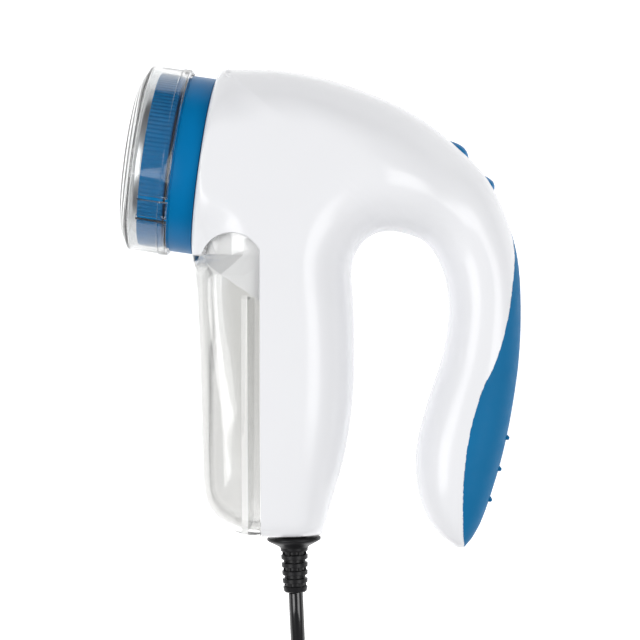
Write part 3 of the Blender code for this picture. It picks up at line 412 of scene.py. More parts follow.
class Finish:
    """A node material, built up by a few calls on one Principled shader."""

    def __init__(self, name):
        self.material = bpy.data.materials.new(name)
        self.material.use_nodes = True
        self.nodes = self.material.node_tree.nodes
        self.links = self.material.node_tree.links
        self.shader = self.nodes["Principled BSDF"]
        self.place = self.nodes.new("ShaderNodeTexCoord").outputs["Object"]

    def set(self, **values):
        for name, value in values.items():
            socket(self.shader, name.replace("_", " "), value)
        return self

    def noise(self, scale, detail=3.0, roughness=0.5, stretch=None):
        node = self.nodes.new("ShaderNodeTexNoise")
        socket(node, "Scale", scale)
        socket(node, "Detail", detail)
        socket(node, "Roughness", roughness)
        place = self.place
        if stretch:
            mapping = self.nodes.new("ShaderNodeMapping")
            mapping.inputs["Scale"].default_value = stretch
            self.links.new(place, mapping.inputs["Vector"])
            place = mapping.outputs["Vector"]
        self.links.new(place, node.inputs["Vector"])
        return node.outputs["Fac"]

    def spread(self, value, low, high):
        """A pattern's middle range mapped to low..high."""
        node = self.nodes.new("ShaderNodeMapRange")
        socket(node, "From Min", 0.3)
        socket(node, "From Max", 0.7)
        socket(node, "To Min", low)
        socket(node, "To Max", high)
        self.links.new(value, node.inputs["Value"])
        return node.outputs["Result"]

    def colour(self, pattern, first, second):
        ramp = self.nodes.new("ShaderNodeValToRGB")
        ramp.color_ramp.elements[0].position = 0.3
        ramp.color_ramp.elements[1].position = 0.7
        ramp.color_ramp.elements[0].color = (*first, 1.0)
        ramp.color_ramp.elements[1].color = (*second, 1.0)
        self.links.new(pattern, ramp.inputs["Fac"])
        self.links.new(ramp.outputs["Color"], self.shader.inputs["Base Color"])
        return self

    def rough(self, pattern, low, high):
        self.links.new(self.spread(pattern, low, high), self.shader.inputs["Roughness"])
        return self

    def bump(self, pattern, depth, strength=1.0):
        """depth in millimetres."""
        node = self.nodes.new("ShaderNodeBump")
        socket(node, "Strength", strength)
        socket(node, "Distance", depth * MM)
        self.links.new(pattern, node.inputs["Height"])
        self.links.new(node.outputs["Normal"], self.shader.inputs["Normal"])
        return self


def shade(colour, factor):
    return tuple(min(1.0, c * factor) for c in colour)


def plastic(name, colour, low, high, grain=900.0, depth=0.004, vary=0.03, level=0.5):
    """Moulded plastic: a faint cloudiness, uneven gloss and a fine moulding texture."""
    made_of = Finish(name).set(Specular_IOR_Level=level)
    cloud = made_of.noise(38.0, 4.0)
    made_of.colour(cloud, shade(colour, 1 - vary), shade(colour, 1 + vary))
    made_of.rough(made_of.noise(260.0, 5.0), low, high)
    made_of.bump(made_of.noise(grain, 3.0), depth)
    return made_of.material


def metal(name, colour, low, high, stretch, depth=0.003):
    """Drawn or brushed metal, with its lines along one direction."""
    made_of = Finish(name).set(Metallic=1.0)
    lines = made_of.noise(700.0, 3.0, stretch=stretch)
    made_of.colour(made_of.noise(90.0, 4.0), shade(colour, 0.9), shade(colour, 1.08))
    made_of.rough(lines, low, high)
    made_of.bump(lines, depth)
    return made_of.material


def clear(name, tint, haze=0.0):
    """Polished clear plastic. Rays from lamps pass straight through it, as light does through a thin wall."""
    made_of = Finish(name).set(Transmission_Weight=1.0, IOR=1.49, Sheen_Weight=haze, Sheen_Roughness=0.35)
    made_of.colour(made_of.noise(60.0, 3.0), shade(tint, 0.992), tint)
    made_of.rough(made_of.noise(500.0, 4.0), 0.02, 0.07)
    made_of.bump(made_of.noise(45.0, 2.0), 0.012)
    nodes, links = made_of.nodes, made_of.links
    through = nodes.new("ShaderNodeBsdfTransparent")
    through.inputs["Color"].default_value = (*shade(tint, 0.93), 1.0)
    mix = nodes.new("ShaderNodeMixShader")
    path = nodes.new("ShaderNodeLightPath")
    links.new(path.outputs["Is Shadow Ray"], mix.inputs[0])
    links.new(made_of.shader.outputs[0], mix.inputs[1])
    links.new(through.outputs[0], mix.inputs[2])
    links.new(mix.outputs[0], nodes["Material Output"].inputs["Surface"])
    return made_of.material


def make_looks():
    white = (0.80, 0.805, 0.825)
    blue = (0.0, 0.15, 0.37)
    soft = (0.004, 0.14, 0.32)
    black = (0.012, 0.012, 0.013)
    return {
        "shell_white": plastic("shell_white", white, 0.2, 0.262, vary=0.006, depth=0.002, level=0.36),
        "inner_white": plastic("inner_white", white, 0.35, 0.42, vary=0.012),
        "blue_plastic": plastic("blue_plastic", blue, 0.29, 0.35, vary=0.04, level=0.1),
        "soft_blue": plastic("soft_blue", soft, 0.5, 0.62, grain=2600.0, depth=0.02, vary=0.05, level=0.12),
        "clear_plastic": clear("clear_plastic", (0.76, 0.77, 0.77), 0.2),
        "bin_clear": clear("bin_clear", (0.81, 0.81, 0.802), 0.08),
        "foil_steel": metal("foil_steel", (0.74, 0.74, 0.75), 0.29, 0.36, (1.0, 6.0, 1.0)),
        "steel": metal("steel", (0.6, 0.6, 0.62), 0.29, 0.4, (6.0, 1.0, 1.0)),
        "nickel": metal("nickel", (0.7, 0.69, 0.66), 0.18, 0.26, (1.0, 1.0, 6.0)),
        "bronze": metal("bronze", (0.6, 0.42, 0.22), 0.35, 0.5, (1.0, 1.0, 1.0)),
        "copper": metal("copper", (0.6, 0.3, 0.18), 0.3, 0.42, (1.0, 8.0, 1.0)),
        "ferrite": plastic("ferrite", (0.06, 0.06, 0.065), 0.6, 0.75, depth=0.02, vary=0.2),
        "black_plastic": plastic("black_plastic", black, 0.29, 0.37, vary=0.2, level=0.16),
        "grey_plastic": plastic("grey_plastic", (0.35, 0.36, 0.38), 0.35, 0.45),
        "board_green": plastic("board_green", (0.05, 0.25, 0.1), 0.3, 0.5, vary=0.15),
        "amber_plastic": plastic("amber_plastic", (0.55, 0.3, 0.05), 0.29, 0.38, vary=0.1),
        "wire_insulation": plastic("wire_insulation", (0.5, 0.05, 0.04), 0.3, 0.4, vary=0.06),
        "cord_black": plastic(
            "cord_black", (0.006, 0.006, 0.007), 0.1, 0.14, grain=1400.0, depth=0.003, vary=0.2, level=0.55
        ),
    }


looks = make_looks()


# ---------------------------------------------------------------- the lead


def coil_place(turned_by):
    """Radius and height above the floor of the coiled lead, after turning by some degrees."""
    steps = [  # degrees turned at the start and the end of each move, and where it ends
        (305, 375, COIL_IN, 1), (625, 695, COIL_IN, 2), (945, 1015, COIL_OUT, 2),
        (1265, 1335, COIL_OUT, 3), (1585, 1655, COIL_IN, 3), (1905, 1975, COIL_IN, 4),
        (2225, 2295, COIL_OUT, 4),
    ]
    radius, layer = COIL_OUT, 1
    for start, end, to_radius, to_layer in steps:
        share = smooth_step((turned_by - start) / (end - start))
        radius += (to_radius - radius) * share
        layer += (to_layer - layer) * share
    return radius, (layer - 0.5) * CORD_D


COIL_LEAVES = 2545  # degrees turned where the lead starts to leave the coil's top
TURN_STEP = 9  # degrees between the centreline's points in the coil


def lead_route():
    """The lead's whole centreline, from the strain relief to the plug."""
    line = curve_through([RELIEF_END, *LEAD_ROUTE], 4)
    start = math.pi
    for k in range(int(COIL_LEAVES / TURN_STEP) + 1):
        degrees = TURN_STEP * k
        radius, height = coil_place(degrees)
        turn = start + math.radians(degrees)
        line.append(COIL_AT + Vector((radius * math.cos(turn), radius * math.sin(turn), FLOOR + height)))
    away = []
    for degrees, radius, height in ((2575, 35.6, 17.6), (2600, 38.4, 15.2), (2628, 39.2, 10.8)):
        turn = start + math.radians(degrees)
        away.append(COIL_AT + Vector((radius * math.cos(turn), radius * math.sin(turn), FLOOR + height)))
    tail = curve_through([line[-2], line[-1], *away, *TAIL_ROUTE], 4)
    return line[:-1] + tail[4:]


def make_lead():
    route = lead_route()
    data = bpy.data.curves.new("lead", "CURVE")
    data.dimensions = "3D"
    data.bevel_depth = CORD_D / 2 * MM
    data.bevel_resolution = 5
    data.use_fill_caps = True
    path = data.splines.new("POLY")
    path.points.add(len(route) - 1)
    for point, at in zip(path.points, route):
        point.co = (*world(at), 1.0)
    data.materials.append(looks["cord_black"])
    item = bpy.data.objects.new("lead", data)
    scene.collection.objects.link(item)
    length = sum((b - a).length for a, b in zip(route, route[1:])) * MM
    return item, length


lead, lead_length = make_lead()


# ---------------------------------------------------------------- the housing's form


SIDE_POINTS = 40  # across each station of the fine skin
CREASE_SOFT, BEVEL_SOFT = 0.035, 0.012  # how softly the creases turn, as a share of the station
BLEND = 5.0  # between the drum round the head and the rest of the skin
FLAT_BLEND = 1.5
DRUM_ENDS, DRUM_FADES = 44.0, 26.0  # along the head's axis: where the drum has gone, and over what length
COARSE = (0.006, 0.04, 0.14, 0.32, 0.5, 0.68, 0.86, 0.96, 0.994)


def shares_of(count):
    """Places across a station, close together at its ends."""
    found = []
    for k in range(count):
        cosine = math.cos(math.pi * (k + 0.5) / count)
        found.append(0.5 * (1 - math.copysign(abs(cosine) ** 0.72, cosine)))
    return found


def run_of(stations, between):
    """Rows of outer point, inner point and form, on smooth curves through the stations."""
    rows = []
    for k in range((len(stations) - 1) * between + 1):
        t = k / between
        outer = spline([(*s[0], 0.0) for s in stations], t)
        inner = spline([(*s[1], 0.0) for s in stations], t)
        rows.append((outer, inner, spline([form_of(s) for s in stations], t)))
    return rows


def face_run(steps):
    """Rows from the body round the corner below the arch, along the flat face behind the collar."""
    rows = []
    for k in range(steps + 1):
        share = k / steps
        outer = HEAD + ACROSS * (FACE_FROM + (FACE_TO - FACE_FROM) * share)
        inner = spline([(*p, 0.0) for p in GAP_TOP], (len(GAP_TOP) - 1.3) * share)
        form = form_of(BODY[-1]).lerp(form_of(ARCH[0]), smooth_step(0.1 + 0.8 * share))
        form[2] = form_of(ARCH[0])[2]
        rows.append((outer, inner, form))
    return rows


def linked(first, second, steps):
    """Stations between the last of one run and the first of the next."""
    a, b = first[-1], second[0]
    rows = []
    for k in range(1, steps):
        rows.append(tuple(p.lerp(q, k / steps) for p, q in zip(a, b)))
    return rows


def all_stations(between):
    body = run_of(BODY, between)
    face = face_run(6 * between)
    arch = run_of(ARCH, between)
    return [*body, *linked(body, face, between), *face, *linked(face, arch, 2), *arch]


def moved_in(loop, depth):
    """A closed outline with each corner moved inwards."""
    found = []
    for k, point in enumerate(loop):
        before = (point - loop[k - 1]).normalized()
        after = (loop[(k + 1) % len(loop)] - point).normalized()
        one, two = (Vector((d.y, -d.x, 0.0)) for d in (before, after))
        found.append(point + (one + two) * (depth / max(0.35, 1 + one.dot(two))))
    return found


def form_of(station):
    """A station's half width, two roundnesses and two creases, as one row of numbers."""
    width, rounds, crease, bevel = station[2:]
    return Vector((width, *rounds, *crease, *bevel))


def soft_most(one, other, blend):
    """The larger of two lengths, with the corner between them rounded."""
    return (one + other + math.sqrt((one - other) ** 2 + blend**2)) / 2


def half_width(point, share, form, inset):
    """How far the housing's skin stands from the mid-plane, at a share of its station."""
    width, inner_round, outer_round, crease, fall_out, fall_in, bevel, bevel_fall = form
    roundness = outer_round if share < 0.5 else inner_round
    plain = (width - inset) * max(0.0, 1 - abs(1 - 2 * share) ** roundness) ** (1 / roundness)
    past = share - crease
    bend = math.hypot(past, CREASE_SOFT)
    plain *= 1 - fall_in * (bend + past) / 2 - fall_out * (bend - past) / 2
    past = share - bevel
    plain *= 1 - bevel_fall * (math.hypot(past, BEVEL_SOFT) - past) / 2
    from_axis = point - HEAD
    axial, across = from_axis.dot(OUTWARD) + inset, from_axis.dot(ACROSS)
    bend = max(FACE_ROUND - inset, 1.0)
    radius = FACE_R - inset
    if axial > -bend:
        radius -= bend - math.sqrt(max(0.0, bend**2 - (bend + min(axial, 0.0)) ** 2))
    fade = smooth_step((DRUM_ENDS + axial) / DRUM_FADES)
    drum = math.sqrt(max(0.0, radius**2 - across**2)) * fade
    blend = min(BLEND, 0.5 * plain, 1.5 * drum)
    grown = soft_most(plain, drum, blend) if axial < -FACE_ROUND else max(plain, drum)
    top = FLAT - inset
    return min(top, -soft_most(-grown, -top, min(FLAT_BLEND, plain)) + 0.5 * FLAT_BLEND)


def skin_stations(inset, between):
    """Every station of the skin moved in by inset, without those that are too narrow for it."""
    rows = all_stations(between)
    loop = [r[0] for r in rows] + [r[1] for r in reversed(rows)]
    moved = moved_in(loop, inset)
    found = []
    last, dome = len(loop) - 1, DOME * between
    if inset > 0:
        for k in range(dome):
            t = k / dome
            moved[k] = moved[0].lerp(moved[dome], t)
            moved[last - k] = moved[last].lerp(moved[last - dome], t)
            form = rows[k][2].copy()
            form[0] = CAVITY_END + (rows[dome][2][0] - CAVITY_END) * t
            rows[k] = (*rows[k][:2], form)
    for k, row in enumerate(rows):
        if inset <= 0 or (row[0] - row[1]).length > 4.8 * inset + 2.0:
            found.append((moved[k], moved[last - k], row[2]))
    return found


def skin(inset, between=1, shares=COARSE):
    """The housing's whole outer form, moved in by inset, as one closed solid."""
    rings = []
    for outer, inner, form in skin_stations(inset, between):
        spots = [(outer.lerp(inner, s), s) for s in shares]
        side = [(p, half_width(p, s, form, inset)) for p, s in spots]
        top = [(p.x, p.y, z) for p, z in side]
        bottom = [(p.x, p.y, -z) for p, z in reversed(side)]
        rings.append([(outer.x, outer.y, 0.0), *top, (inner.x, inner.y, 0.0), *bottom])
    return lofted(rings)


def bin_outline(grow):
    (back, back_y), (mid, mid_y), (front, front_y) = BIN_ARCH
    arch = arc_through((back + grow, back_y + grow), (mid, mid_y + grow), (front, front_y + grow), 24)
    return [(-60.0, BIN_FOOT_Y), (back + grow, BIN_FOOT_Y), *arch, (-60.0, front_y + grow)]


def grip_outline(grow):
    """The grip's region in the side view: everything behind its side edge, which ends in two tips."""
    edge = curve_through(GRIP_EDGE, 6)
    line = []
    for k, point in enumerate(edge):
        ahead = (edge[min(k + 1, len(edge) - 1)] - edge[max(k - 1, 0)]).normalized()
        line.append(point + Vector((ahead.y, -ahead.x, 0.0)).normalized() * -grow)
    first, last = line[0], line[-1]
    ends = first + Vector((2.5, 5.0, 0.0)), last + Vector((1.0, -6.0, 0.0))
    behind = Vector((90.0, -92.0, 0.0)), Vector((90.0, 40.0, 0.0))
    return [(p.x, p.y) for p in (ends[0], *line, ends[1], *behind)]


def slider_frame():
    down = (SLIDER_TO - SLIDER_FROM).normalized()
    return down, Vector((-down.y, down.x, 0.0))


def slider_slot():
    down, out = slider_frame()
    low, high, deep = -0.4, (SLIDER_TO - SLIDER_FROM).length + SLIDER_TRAVEL + 0.4, -SLIDER_DEEP - 5.0
    corners = [(low, 9.0), (low, deep), (high, deep), (high, 9.0)]
    outline = [(SLIDER_FROM + down * a + out * b)[:2] for a, b in corners]
    return prism(outline, -SLIDER_WIDE - 0.4, SLIDER_WIDE + 0.4)


def relief_rings(profile, count):
    """Rings about the strain relief's own slanting axis, from (distance down, radius) pairs."""
    down = (RELIEF_END - RELIEF_TOP).normalized()
    side = Vector((-down.y, down.x, 0.0))
    return [
        [RELIEF_TOP + down * along + (side * math.cos(math.tau * k / count)
                                      + UP * math.sin(math.tau * k / count)) * radius
         for k in range(count)]
        for along, radius in profile
    ]


def make_housing():
    fine = skin(0.0, 5, shares_of(SIDE_POINTS))
    grip_bed = made("bed", skin(-2.0))
    carved(
        grip_bed,
        ("DIFFERENCE", skin(GRIP_THICK + 0.6, 2)),
        ("INTERSECT", prism(grip_outline(0.15), -30.0, 30.0)),
    )
    whole = made("whole", fine, looks["shell_white"])
    carved(
        whole,
        ("DIFFERENCE", skin(WALL)),
        ("DIFFERENCE", turned(lathed([(0, -8.0), (MOUTH_R, -8.0), (MOUTH_R, 5.0), (0, 5.0)], 96))),
        ("DIFFERENCE", prism(bin_outline(0.3), -50.0, 50.0)),
        ("DIFFERENCE", grip_bed),
        ("DIFFERENCE", slider_slot()),
        ("DIFFERENCE", lofted(relief_rings([(-6.0, 4.6), (1.2, 4.6)], 32))),
    )
    smooth(whole)
    for name, side in (("housing_shell_left", 1), ("housing_shell_right", -1)):
        half = bpy.data.objects.new(name, whole.data.copy())
        scene.collection.objects.link(half)
        near, far = (SEAM, 60.0) if side > 0 else (-60.0, -SEAM)
        steps = [("INTERSECT", boxed((-120, -120, near), (120, 120, far)))]
        if side < 0:
            wells = [prism(circle(x, y, SCREW_HEAD_R + 0.3, 32), -60.0, seat) for x, y, seat in SCREWS]
            steps.append(("DIFFERENCE", joined(wells)))
        carved(half, *steps)
        smooth(half)
        piece(half, "housing", "shell_white", name.replace("shell_", ""))
    bpy.data.objects.remove(whole, do_unlink=True)


def nub(foot, out, radius, high):
    """A small domed peg standing on a foot inside the grip."""
    side = Vector((-out.y, out.x, 0.0))
    rings = []
    for share, rise in ((1.0, 0.0), (1.0, 0.62), (0.93, 0.78), (0.75, 0.91), (0.45, 0.98), (0.15, 1.0)):
        rings.append([foot + out * rise * high + (side * math.cos(math.tau * k / 20)
                                                  + UP * math.sin(math.tau * k / 20)) * radius * share
                      for k in range(20)])
    return lofted(rings)


def make_grip():
    grip = made("grip_skin", skin(0.0, 5, shares_of(SIDE_POINTS)), looks["soft_blue"])
    carved(grip, ("INTERSECT", prism(grip_outline(0.0), -30.0, 30.0)), ("DIFFERENCE", skin(GRIP_THICK, 2)))
    nubs = []
    for x, y in NUBS:
        lean = math.atan2(y + BACK_MIDDLE, BACK_R)
        out = Vector((math.cos(lean), math.sin(lean), 0.0))
        for aside in (-NUB_ASIDE, 0.0, NUB_ASIDE):
            foot = Vector((x - abs(aside) * 0.05, y, aside)) - out * NUB_SUNK
            nubs.append(nub(foot, out, NUB_R, NUB_SUNK + NUB_PROUD))
    carved(grip, ("UNION", joined(nubs)))
    smooth(grip)
    piece(grip, "housing", "soft_blue", "soft_grip")


def make_bin():
    tub = made("bin_tub", skin(0.0, 5, shares_of(SIDE_POINTS)), looks["bin_clear"])
    x0, x1, y0, y1 = BIN_REAR_WALL
    rear = made("rear", boxed((x0, y0, -40.0), (x1, y1, 40.0)))
    carved(rear, ("INTERSECT", skin(BIN_WALL / 2)))
    carved(
        tub,
        ("INTERSECT", prism(bin_outline(0.0), -50.0, 50.0)),
        ("DIFFERENCE", skin(BIN_WALL, 3, shares_of(20))),
        ("UNION", rear),
    )
    smooth(tub)
    piece(tub, "bin", "clear_plastic", "lint_bin")


make_housing()
make_grip()
make_bin()


# ---------------------------------------------------------------- the head


def make_collar():
    outline = rounded([(31.3, 0.35, 0.2), (31.3, 8.5, 0.3), (30.4, 8.7, 0.0), (30.4, 10.2, 0.4),
                       (27.8, 10.2, 0.3), (27.8, 0.35, 0.2)])
    collar = smooth(made("twist_collar", turned(lathed(outline, 160)), looks["blue_plastic"]), 40)
    piece(collar, "collar", "blue_plastic", "head_collar")


RIBS, RIB_HIGH = 128, 0.36
RING_R, RING_BORE = 30.8, 27.1
RING_LOW, RING_TOP = 11.0, 19.5


def make_foil_ring():
    """The knurled ring that holds the foil: fine rounded ribs along the axis."""
    rows = [(-0.25, 11.0, 0.6), (0.0, 11.3, 1.0), (0.0, 19.2, 1.0), (-0.25, 19.5, 0.6)]
    count = RIBS * 6
    rings = []
    for grow, height, ribbed in rows:
        ring = []
        for k in range(count):
            turn = math.tau * k / count
            rib = RIB_HIGH * (0.5 + 0.5 * math.cos(turn * RIBS)) ** 0.7 * ribbed
            radius = RING_R - RIB_HIGH + grow + rib
            ring.append((radius * math.cos(turn), radius * math.sin(turn), height))
        rings.append(ring)
    bore = circle(0.0, 0.0, RING_BORE, count)
    for height in (RING_TOP, RING_LOW):
        rings.append([(*p, height) for p in bore])
    ring = smooth(made("knurled_ring", turned(hooped(rings)), looks["blue_plastic"]), 50)
    piece(ring, "foil_head", "blue_plastic", "foil_ring")


HOLE_PITCH = 2.1
HOLE_R = 0.72
FOIL_R = 26.7
FOIL_THICK = 0.25


def foil_sheet():
    """The flat of the foil: six-sided cells, each with a round hole, out to the rim."""
    reach = FOIL_R - 2.6
    corners, faces = [], []
    index = {}

    def corner(x, y):
        key = (round(x, 3), round(y, 3))
        if key not in index:
            index[key] = len(corners)
            corners.append((x, y))
        return index[key]

    side = HOLE_PITCH / math.sqrt(3)
    rows = int(reach / (HOLE_PITCH * 0.866)) + 1
    for j in range(-rows, rows + 1):
        for i in range(-rows - 2, rows + 3):
            x, y = (i + 0.5 * (j % 2)) * HOLE_PITCH, j * HOLE_PITCH * math.sqrt(3) / 2
            if math.hypot(x, y) > reach:
                continue
            rim, hole = [], []
            for k in range(12):
                turn = math.radians(30 * k + 30)
                reach_k = side if k % 2 == 0 else side * math.cos(math.pi / 6)
                rim.append(corner(x + reach_k * math.cos(turn), y + reach_k * math.sin(turn)))
                hole.append(len(corners))
                corners.append((x + HOLE_R * math.cos(turn), y + HOLE_R * math.sin(turn)))
            for k in range(12):
                n = (k + 1) % 12
                faces.append((rim[k], rim[n], hole[n], hole[k]))
    return corners, faces


def make_foil():
    """The foil: a perforated flat with a plain rim and a rolled edge."""
    corners, faces = foil_sheet()
    shape = bmesh.new()
    verts = [shape.verts.new((x, y, 22.4 - 0.0004 * (x * x + y * y))) for x, y in corners]
    for face in faces:
        shape.faces.new([verts[i] for i in face])
    outer = []
    for e in shape.edges:
        if e.is_boundary and max(math.hypot(v.co.x, v.co.y) for v in e.verts) > FOIL_R - 4.9:
            outer.append(e)
    loops = {}
    for e in outer:
        a, b = e.verts
        loops.setdefault(a, []).append(b)
        loops.setdefault(b, []).append(a)
    start = max(loops, key=lambda v: v.co.length)
    chain, seen = [start], {start}
    while True:
        ahead = [v for v in loops[chain[-1]] if v not in seen]
        if not ahead:
            break
        chain.append(ahead[0])
        seen.add(ahead[0])
    previous = chain
    for radius, height in ((25.4, 22.3), (26.2, 22.1), (26.55, 21.8), (FOIL_R, 21.3), (FOIL_R, 12.0)):
        ring = []
        for v in chain:
            turn = math.atan2(v.co.y, v.co.x)
            ring.append(shape.verts.new((radius * math.cos(turn), radius * math.sin(turn), height)))
        for k in range(len(chain)):
            n = (k + 1) % len(chain)
            shape.faces.new((previous[k], previous[n], ring[n], ring[k]))
        previous = ring
    bmesh.ops.recalc_face_normals(shape, faces=shape.faces)
    for v in shape.verts:
        v.co = world(on_head(v.co))
    mesh = bpy.data.meshes.new("foil")
    shape.to_mesh(mesh)
    shape.free()
    mesh.materials.append(looks["foil_steel"])
    item = bpy.data.objects.new("foil", mesh)
    scene.collection.objects.link(item)
    thick = item.modifiers.new("thick", "SOLIDIFY")
    thick.thickness = FOIL_THICK * MM
    thick.offset = 0.0
    smooth(item, 40)
    piece(item, "foil_head", "foil_steel", "foil_guard")


TAB_FROM, TAB_TO = math.radians(-28.6), math.radians(-42.8)  # the slots beside a cap's tab, from its side
SLOT_WIDE = 1.7
SLOT_FROM, SLOT_TO = 8.0, 19.6  # along the head's axis
TABS = 3


def sector_box(turn, wide, inner, outer, low, high):
    """A box about the head's axis, standing out along one direction."""
    out = Vector((math.cos(turn), math.sin(turn), 0.0))
    side = Vector((-out.y, out.x, 0.0))
    rings = []
    for axial in (low, high):
        ring = []
        for radius, aside in ((inner, -wide), (outer, -wide), (outer, wide), (inner, wide)):
            spot = out * radius + side * (aside / 2)
            ring.append((spot.x, spot.y, axial))
        rings.append(ring)
    return lofted(rings)


def make_cap():
    """The clear cap: a shallow cup with a bevelled front, a beaded rim and three snap tabs."""
    outline = rounded([
        (0, 25.9, 0), (27.6, 25.9, 0.8), (32.8, 23.1, 0.9), (32.8, 12.4, 0.2), (33.2, 12.1, 0.3),
        (33.2, 9.5, 0.5), (32.6, 9.0, 0.2), (31.6, 9.1, 0.3), (31.6, 22.3, 0.8), (26.9, 24.5, 0.8),
        (0, 24.5, 0),
    ], closed=False)
    cap = made("clear_cap", turned(lathed(outline, 192)), looks["clear_plastic"])
    slots = []
    for k in range(TABS):
        for turn in (TAB_FROM, TAB_TO):
            slots.append(sector_box(turn + math.tau * k / TABS, SLOT_WIDE, 29.0, 35.0, SLOT_FROM, SLOT_TO))
    carved(cap, ("DIFFERENCE", turned(joined(slots))))
    smooth(cap, 35)
    piece(cap, "cap", "clear_plastic", "protective_cap")


make_collar()
make_foil_ring()
make_foil()
make_cap()


# ---------------------------------------------------------------- switch, strain relief, plug


def make_slider():
    """The saddle on the back of the arch: two crowned humps with a hollow for the thumb between."""
    down, out = slider_frame()
    long = (SLIDER_TO - SLIDER_FROM).length
    crown = [
        (0.0, -0.3), (1.6, 0.6), (3.6, 1.6), (5.6, 2.1), (7.2, 2.0), (8.8, 1.4), (10.6, 0.5), (12.4, -0.2),
        (14.2, -0.2), (16.2, 0.5), (18.4, 1.4), (20.4, 1.95), (21.8, 2.0), (23.2, 1.3), (long, 0.0),
    ]
    line = curve_through(crown, 5)
    rings = []
    sides = 16
    for j in range(sides + 1):
        share = j / sides * 2 - 1
        drop = 1.9 * abs(share) ** 3.2
        ring = [SLIDER_FROM + down * p.x + out * (p.y - drop) + UP * (SLIDER_WIDE * share) for p in line]
        for along in (long, 0.0):
            ring.append(SLIDER_FROM + down * along + out * -SLIDER_DEEP + UP * (SLIDER_WIDE * share))
        rings.append(ring)
    slider = smooth(made("thumb_slider", lofted(rings), looks["blue_plastic"]), 50)
    piece(slider, "slider", "blue_plastic", "switch_slider")


RELIEF_SLOTS, SLOTS_START, SLOT_PITCH = 5, 5.6, 2.8


def make_relief():
    """The strain relief: a dished flange, then a tapering neck of rings with slots between them."""
    profile = [
        (-5.5, 6.0), (-5.3, 6.2), (-3.8, 6.2), (-3.6, 6.0), (-3.4, 4.3), (0.6, 4.3), (0.8, 9.0), (1.0, 9.5),
        (1.5, 9.6), (1.9, 9.4), (2.5, 8.3), (3.2, 6.9), (3.9, 5.6), (4.5, 4.95), (5.2, 4.85),
    ]
    for k in range(RELIEF_SLOTS):
        start = SLOTS_START + SLOT_PITCH * k
        radius = 4.8 - 0.1 * k
        profile += [(start, radius), (start + 0.15, radius - 0.12), (start + 0.3, 3.5), (start + 1.3, 3.5),
                    (start + 1.45, radius - 0.15), (start + 1.6, radius - 0.03)]
    long = (RELIEF_END - RELIEF_TOP).length
    profile += [(long - 1.2, 4.2), (long - 0.5, 4.05), (long - 0.1, 3.6), (long, 2.9)]
    relief = made("relief", lofted(relief_rings(profile, 64)), looks["black_plastic"])
    down = (RELIEF_END - RELIEF_TOP).normalized()
    side = Vector((-down.y, down.x, 0.0))
    bridges = []
    for k in range(RELIEF_SLOTS):
        along = SLOTS_START + SLOT_PITCH * k
        reach = 4.25 - 0.1 * k
        for j in range(6):
            turn = math.tau * (j + 0.5 * (k % 2)) / 6
            out = side * math.cos(turn) + UP * math.sin(turn)
            across = down.cross(out)
            corners = ((3.0, -0.5), (reach, -0.5), (reach, 0.5), (3.0, 0.5))
            section = [out * r + across * w for r, w in corners]
            ends = RELIEF_TOP + down * (along - 0.4), RELIEF_TOP + down * (along + 2.0)
            bridges.append(lofted([[end + p for p in section] for end in ends]))
    carved(relief, ("UNION", joined(bridges)))
    smooth(relief, 35)
    piece(relief, "housing", "black_plastic", "strain_relief")
    return relief


def plug_at(along, aside, up):
    x = along * -math.sin(PLUG_TURN) + aside * math.cos(PLUG_TURN)
    y = along * math.cos(PLUG_TURN) + aside * math.sin(PLUG_TURN)
    return PLUG_AT + Vector((x, y, up))


def plug_ring(along, wide, high, power, count=48):
    ring = []
    for k in range(count):
        turn = math.tau * k / count
        c, s = math.cos(turn), math.sin(turn)
        aside = wide * math.copysign(abs(c) ** power, c)
        ring.append(plug_at(along, aside, high * math.copysign(abs(s) ** power, s)))
    return ring


PLUG_BODY = (  # how far along, half the width and half the height
    (8.2, 4.6, 4.2), (10.5, 6.4, 4.3), (13.0, 9.0, 4.4), (15.5, 11.4, 4.45), (18.5, 12.5, 4.5),
    (22.0, 12.7, 4.5), (25.0, 12.3, 4.5), (28.0, 12.4, 4.5), (31.5, 12.8, 4.5), (32.8, 12.6, 4.4),
    (33.5, 12.0, 3.9),
)
SLEEVE = ((33.6, 2.0), (43.5, 2.0), (43.5, 1.72), (33.6, 1.72))  # a tube: how far along, and its radius
CONTACT = ((33.6, 1.7), (43.7, 1.7), (43.8, 2.0), (51.4, 2.0), (52.4, 1.5), (52.9, 0.7))
PIN_ASIDE = 9.2
PIN_SIDES = 28


